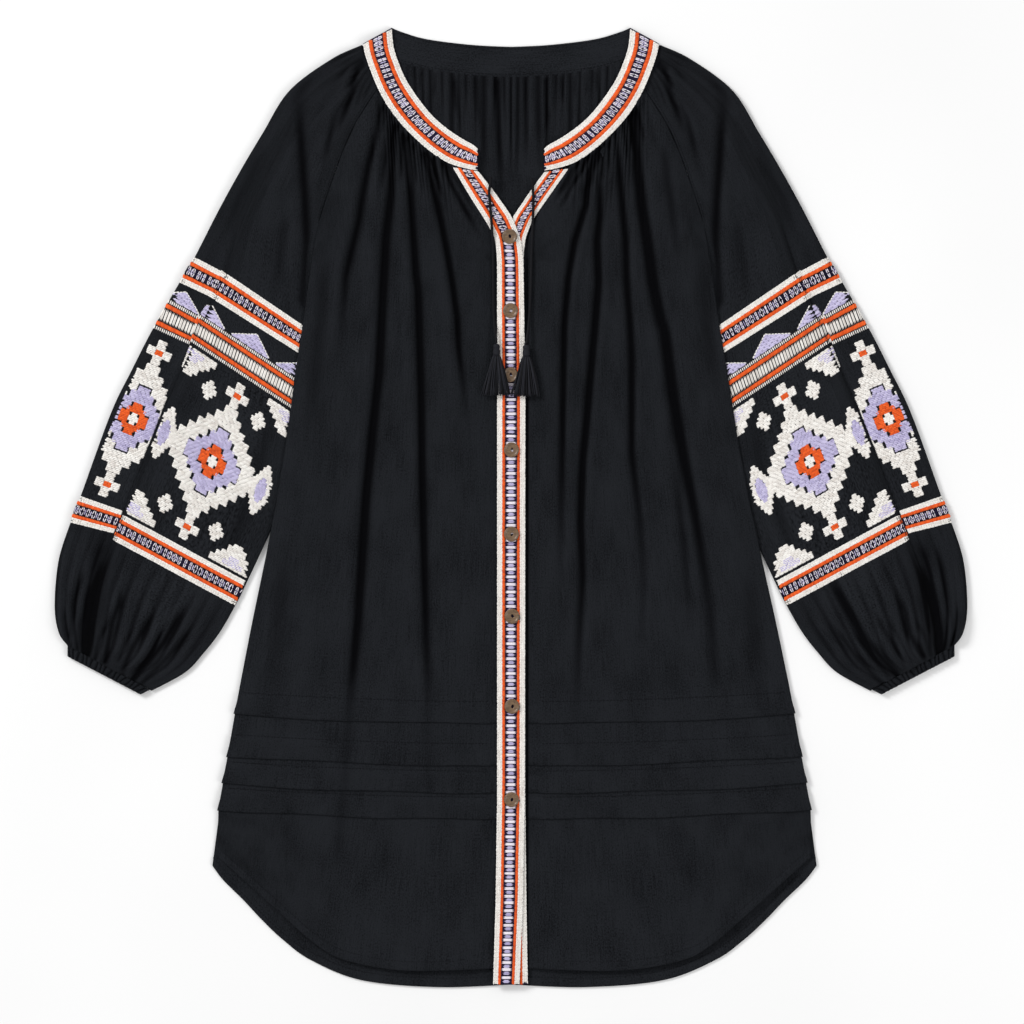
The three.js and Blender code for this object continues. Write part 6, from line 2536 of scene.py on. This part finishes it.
# ---------------------------------------------------------------- seams and hems
@dataclass
class Seam:
    """A line of machine stitches along a path on the cloth.

    Attributes:
        name: Name of the line.
        path: Points of the path, across and up the garment.
        cloth: The cloth that it is sewn in.
        level: Height where the path leaves the cloth.
        pitch: Distance from one stitch to the next.
        stitch: Length of a stitch.
    """

    name: str
    path: Array
    cloth: BVHTree
    level: float = 4.0
    pitch: float = 3.4
    stitch: float = 2.6

    def sew(self, stitches: Stitches) -> None:
        """Adds the line to the stitches of a thread.

        Args:
            stitches: The thread's stitches.
        """
        steps = np.linalg.norm(np.diff(self.path, axis=0), axis=1)
        travel = np.concatenate([[0.0], np.cumsum(steps)])
        starts = np.arange(0, travel[-1] - self.stitch, self.pitch)
        ends = []
        for along in (starts, starts + self.stitch):
            place = np.stack([np.interp(along, travel, column) for column in self.path.T], axis=-1)
            height = drop_height(self.cloth, place[:, 0], place[:, 1], self.level)
            ends.append(np.column_stack([place, height + 0.08]))
        stitches.add(ends[0], ends[1], 0.7, 0.5, 0.3)


def body_seams(panel: FrontPanel) -> list[Seam]:
    """The stitch lines of a front panel: its tucks and its hem.

    Args:
        panel: The panel.

    Returns:
        The lines.
    """
    share = np.linspace(0.05, 0.985, 120)
    lines = [panel.level(share, fold + TUCK_DEPTH + 1.2, 1) for fold in TUCKS]
    rows = panel.rows()
    lines.append(rows[-6][0][10:-2])
    side = SIDES[panel.side]
    return [Seam(f"line_{side}_{k}", line, panel.surface) for k, line in enumerate(lines)]


def raglan_seams(side: int, sleeve: BVHTree) -> list[Seam]:
    """The line beside the raglan seam, on the sleeve."""
    seam = Route(FRONT_RAGLAN).along(np.linspace(0.04, 0.97, 80))
    return [Seam(f"raglan_{SIDES[side]}", (seam + (2.2, 1.2)) * (side, 1), sleeve)]


def back_seams(band: Strip, panel: BackPanel) -> list[Seam]:
    """The lines along both edges of the back neckband and above the back's hem.

    Args:
        band: The back neckband.
        panel: The back panel.

    Returns:
        The seams.
    """
    along = np.linspace(14, band.length - 14, 160)
    lines = [Seam(f"neck_{across}", band.point(along, along * 0 + across), band.surface)
             for across in (0.09, 0.93)]
    share = np.linspace(-0.94, 0.94, 240)
    hem = Route(tuple(reversed(BACK_HEM))).along(np.abs(share)) * (1, 1)
    hem[:, 0] *= np.sign(share)
    hem[:, 1] += HEM_WIDTH
    return [*lines, Seam("hem", hem, panel.surface, 1.4)]


def sew_seams(seams: list[Seam]) -> bpy.types.Object | None:
    """Sews all seams in one black thread.

    Args:
        seams: The seams.

    Returns:
        The sewn piece, or None.
    """
    thread = Stitches("stitch_seams", Finish.BLACK)
    for seam in seams:
        seam.sew(thread)
    return thread.build("cloth")


# ---------------------------------------------------------------- the whole tunic
def build_cords() -> None:
    """Makes the tassels and the ties that end in them."""
    tassels = {
        LEFT: Tassel(LEFT, -14.5, 162.3, 12, 41.5, 10.6, -0.3),
        RIGHT: Tassel(RIGHT, 15.2, 161.5, 12, 41.5, 10.2, -0.6),
    }
    for side, route in ((LEFT, LEFT_TIE), (RIGHT, RIGHT_TIE)):
        tassel = tassels[side].build()
        tie = Tie(side, route).build(tassel)
        LOG.info("%s and %s are made", tassel.name, tie.name)


def main() -> None:
    """Builds the tunic piece by piece."""
    logging.basicConfig(level=logging.INFO, format="%(name)s: %(message)s")
    Studio().build()
    build_cords()
    crepe = Finish.CREPE.material()
    seams = []
    back = BackPanel()
    LOG.info("%s is made", back.build(crepe).name)
    for side in (LEFT, RIGHT):
        panel, sleeve = FrontPanel(side), Sleeve(side)
        LOG.info("%s is made", panel.build(crepe).name)
        LOG.info("%s is made", sleeve.build(crepe).name)
        seams += body_seams(panel) + raglan_seams(side, sleeve.surface)
        for piece in SleevePattern(side, sleeve.surface).build():
            LOG.info("%s is sewn", piece.name)
        LOG.info("%s is made", Cuff(side).build(crepe).name)
    strips = [
        neckband_strip(LEFT), neckband_strip(RIGHT),
        placket_strip("band_under", UNDER_PLACKET, UNDER_PLACKET_Z, "placket_under"),
        placket_strip("band_upper", UPPER_PLACKET, UPPER_PLACKET_Z, "placket_upper"),
    ]
    for strip in strips:
        LOG.info("%s is made", strip.build(Finish.NAVY.material()).name)
        around = strip.name.startswith("band_neck")
        stop = strip.length - (1.3 if around else 0.8)
        bend = V_LENGTH.get(strip.name, stop)
        pieces = sew_strip(strip, LOOP_BAND, 0.8, bend, 5.6)
        if not around:
            covered = 0.62 if strip.name == "band_under" else 0.0
            pieces += sew_strip(strip, LADDER_BAND, bend, stop, 7.4, covered)
        for piece in pieces:
            LOG.info("%s is sewn", piece.name)
    behind = back_neckband_strip()
    LOG.info("%s is made", behind.build(crepe).name)
    LOG.info("%s is sewn", sew_seams(seams + back_seams(behind, back)).name)
    for k, (x, y) in enumerate(BUTTONS):
        LOG.info("%s is made", Button(k + 1, x, y).build().name)


if __name__ == "__main__":
    main()
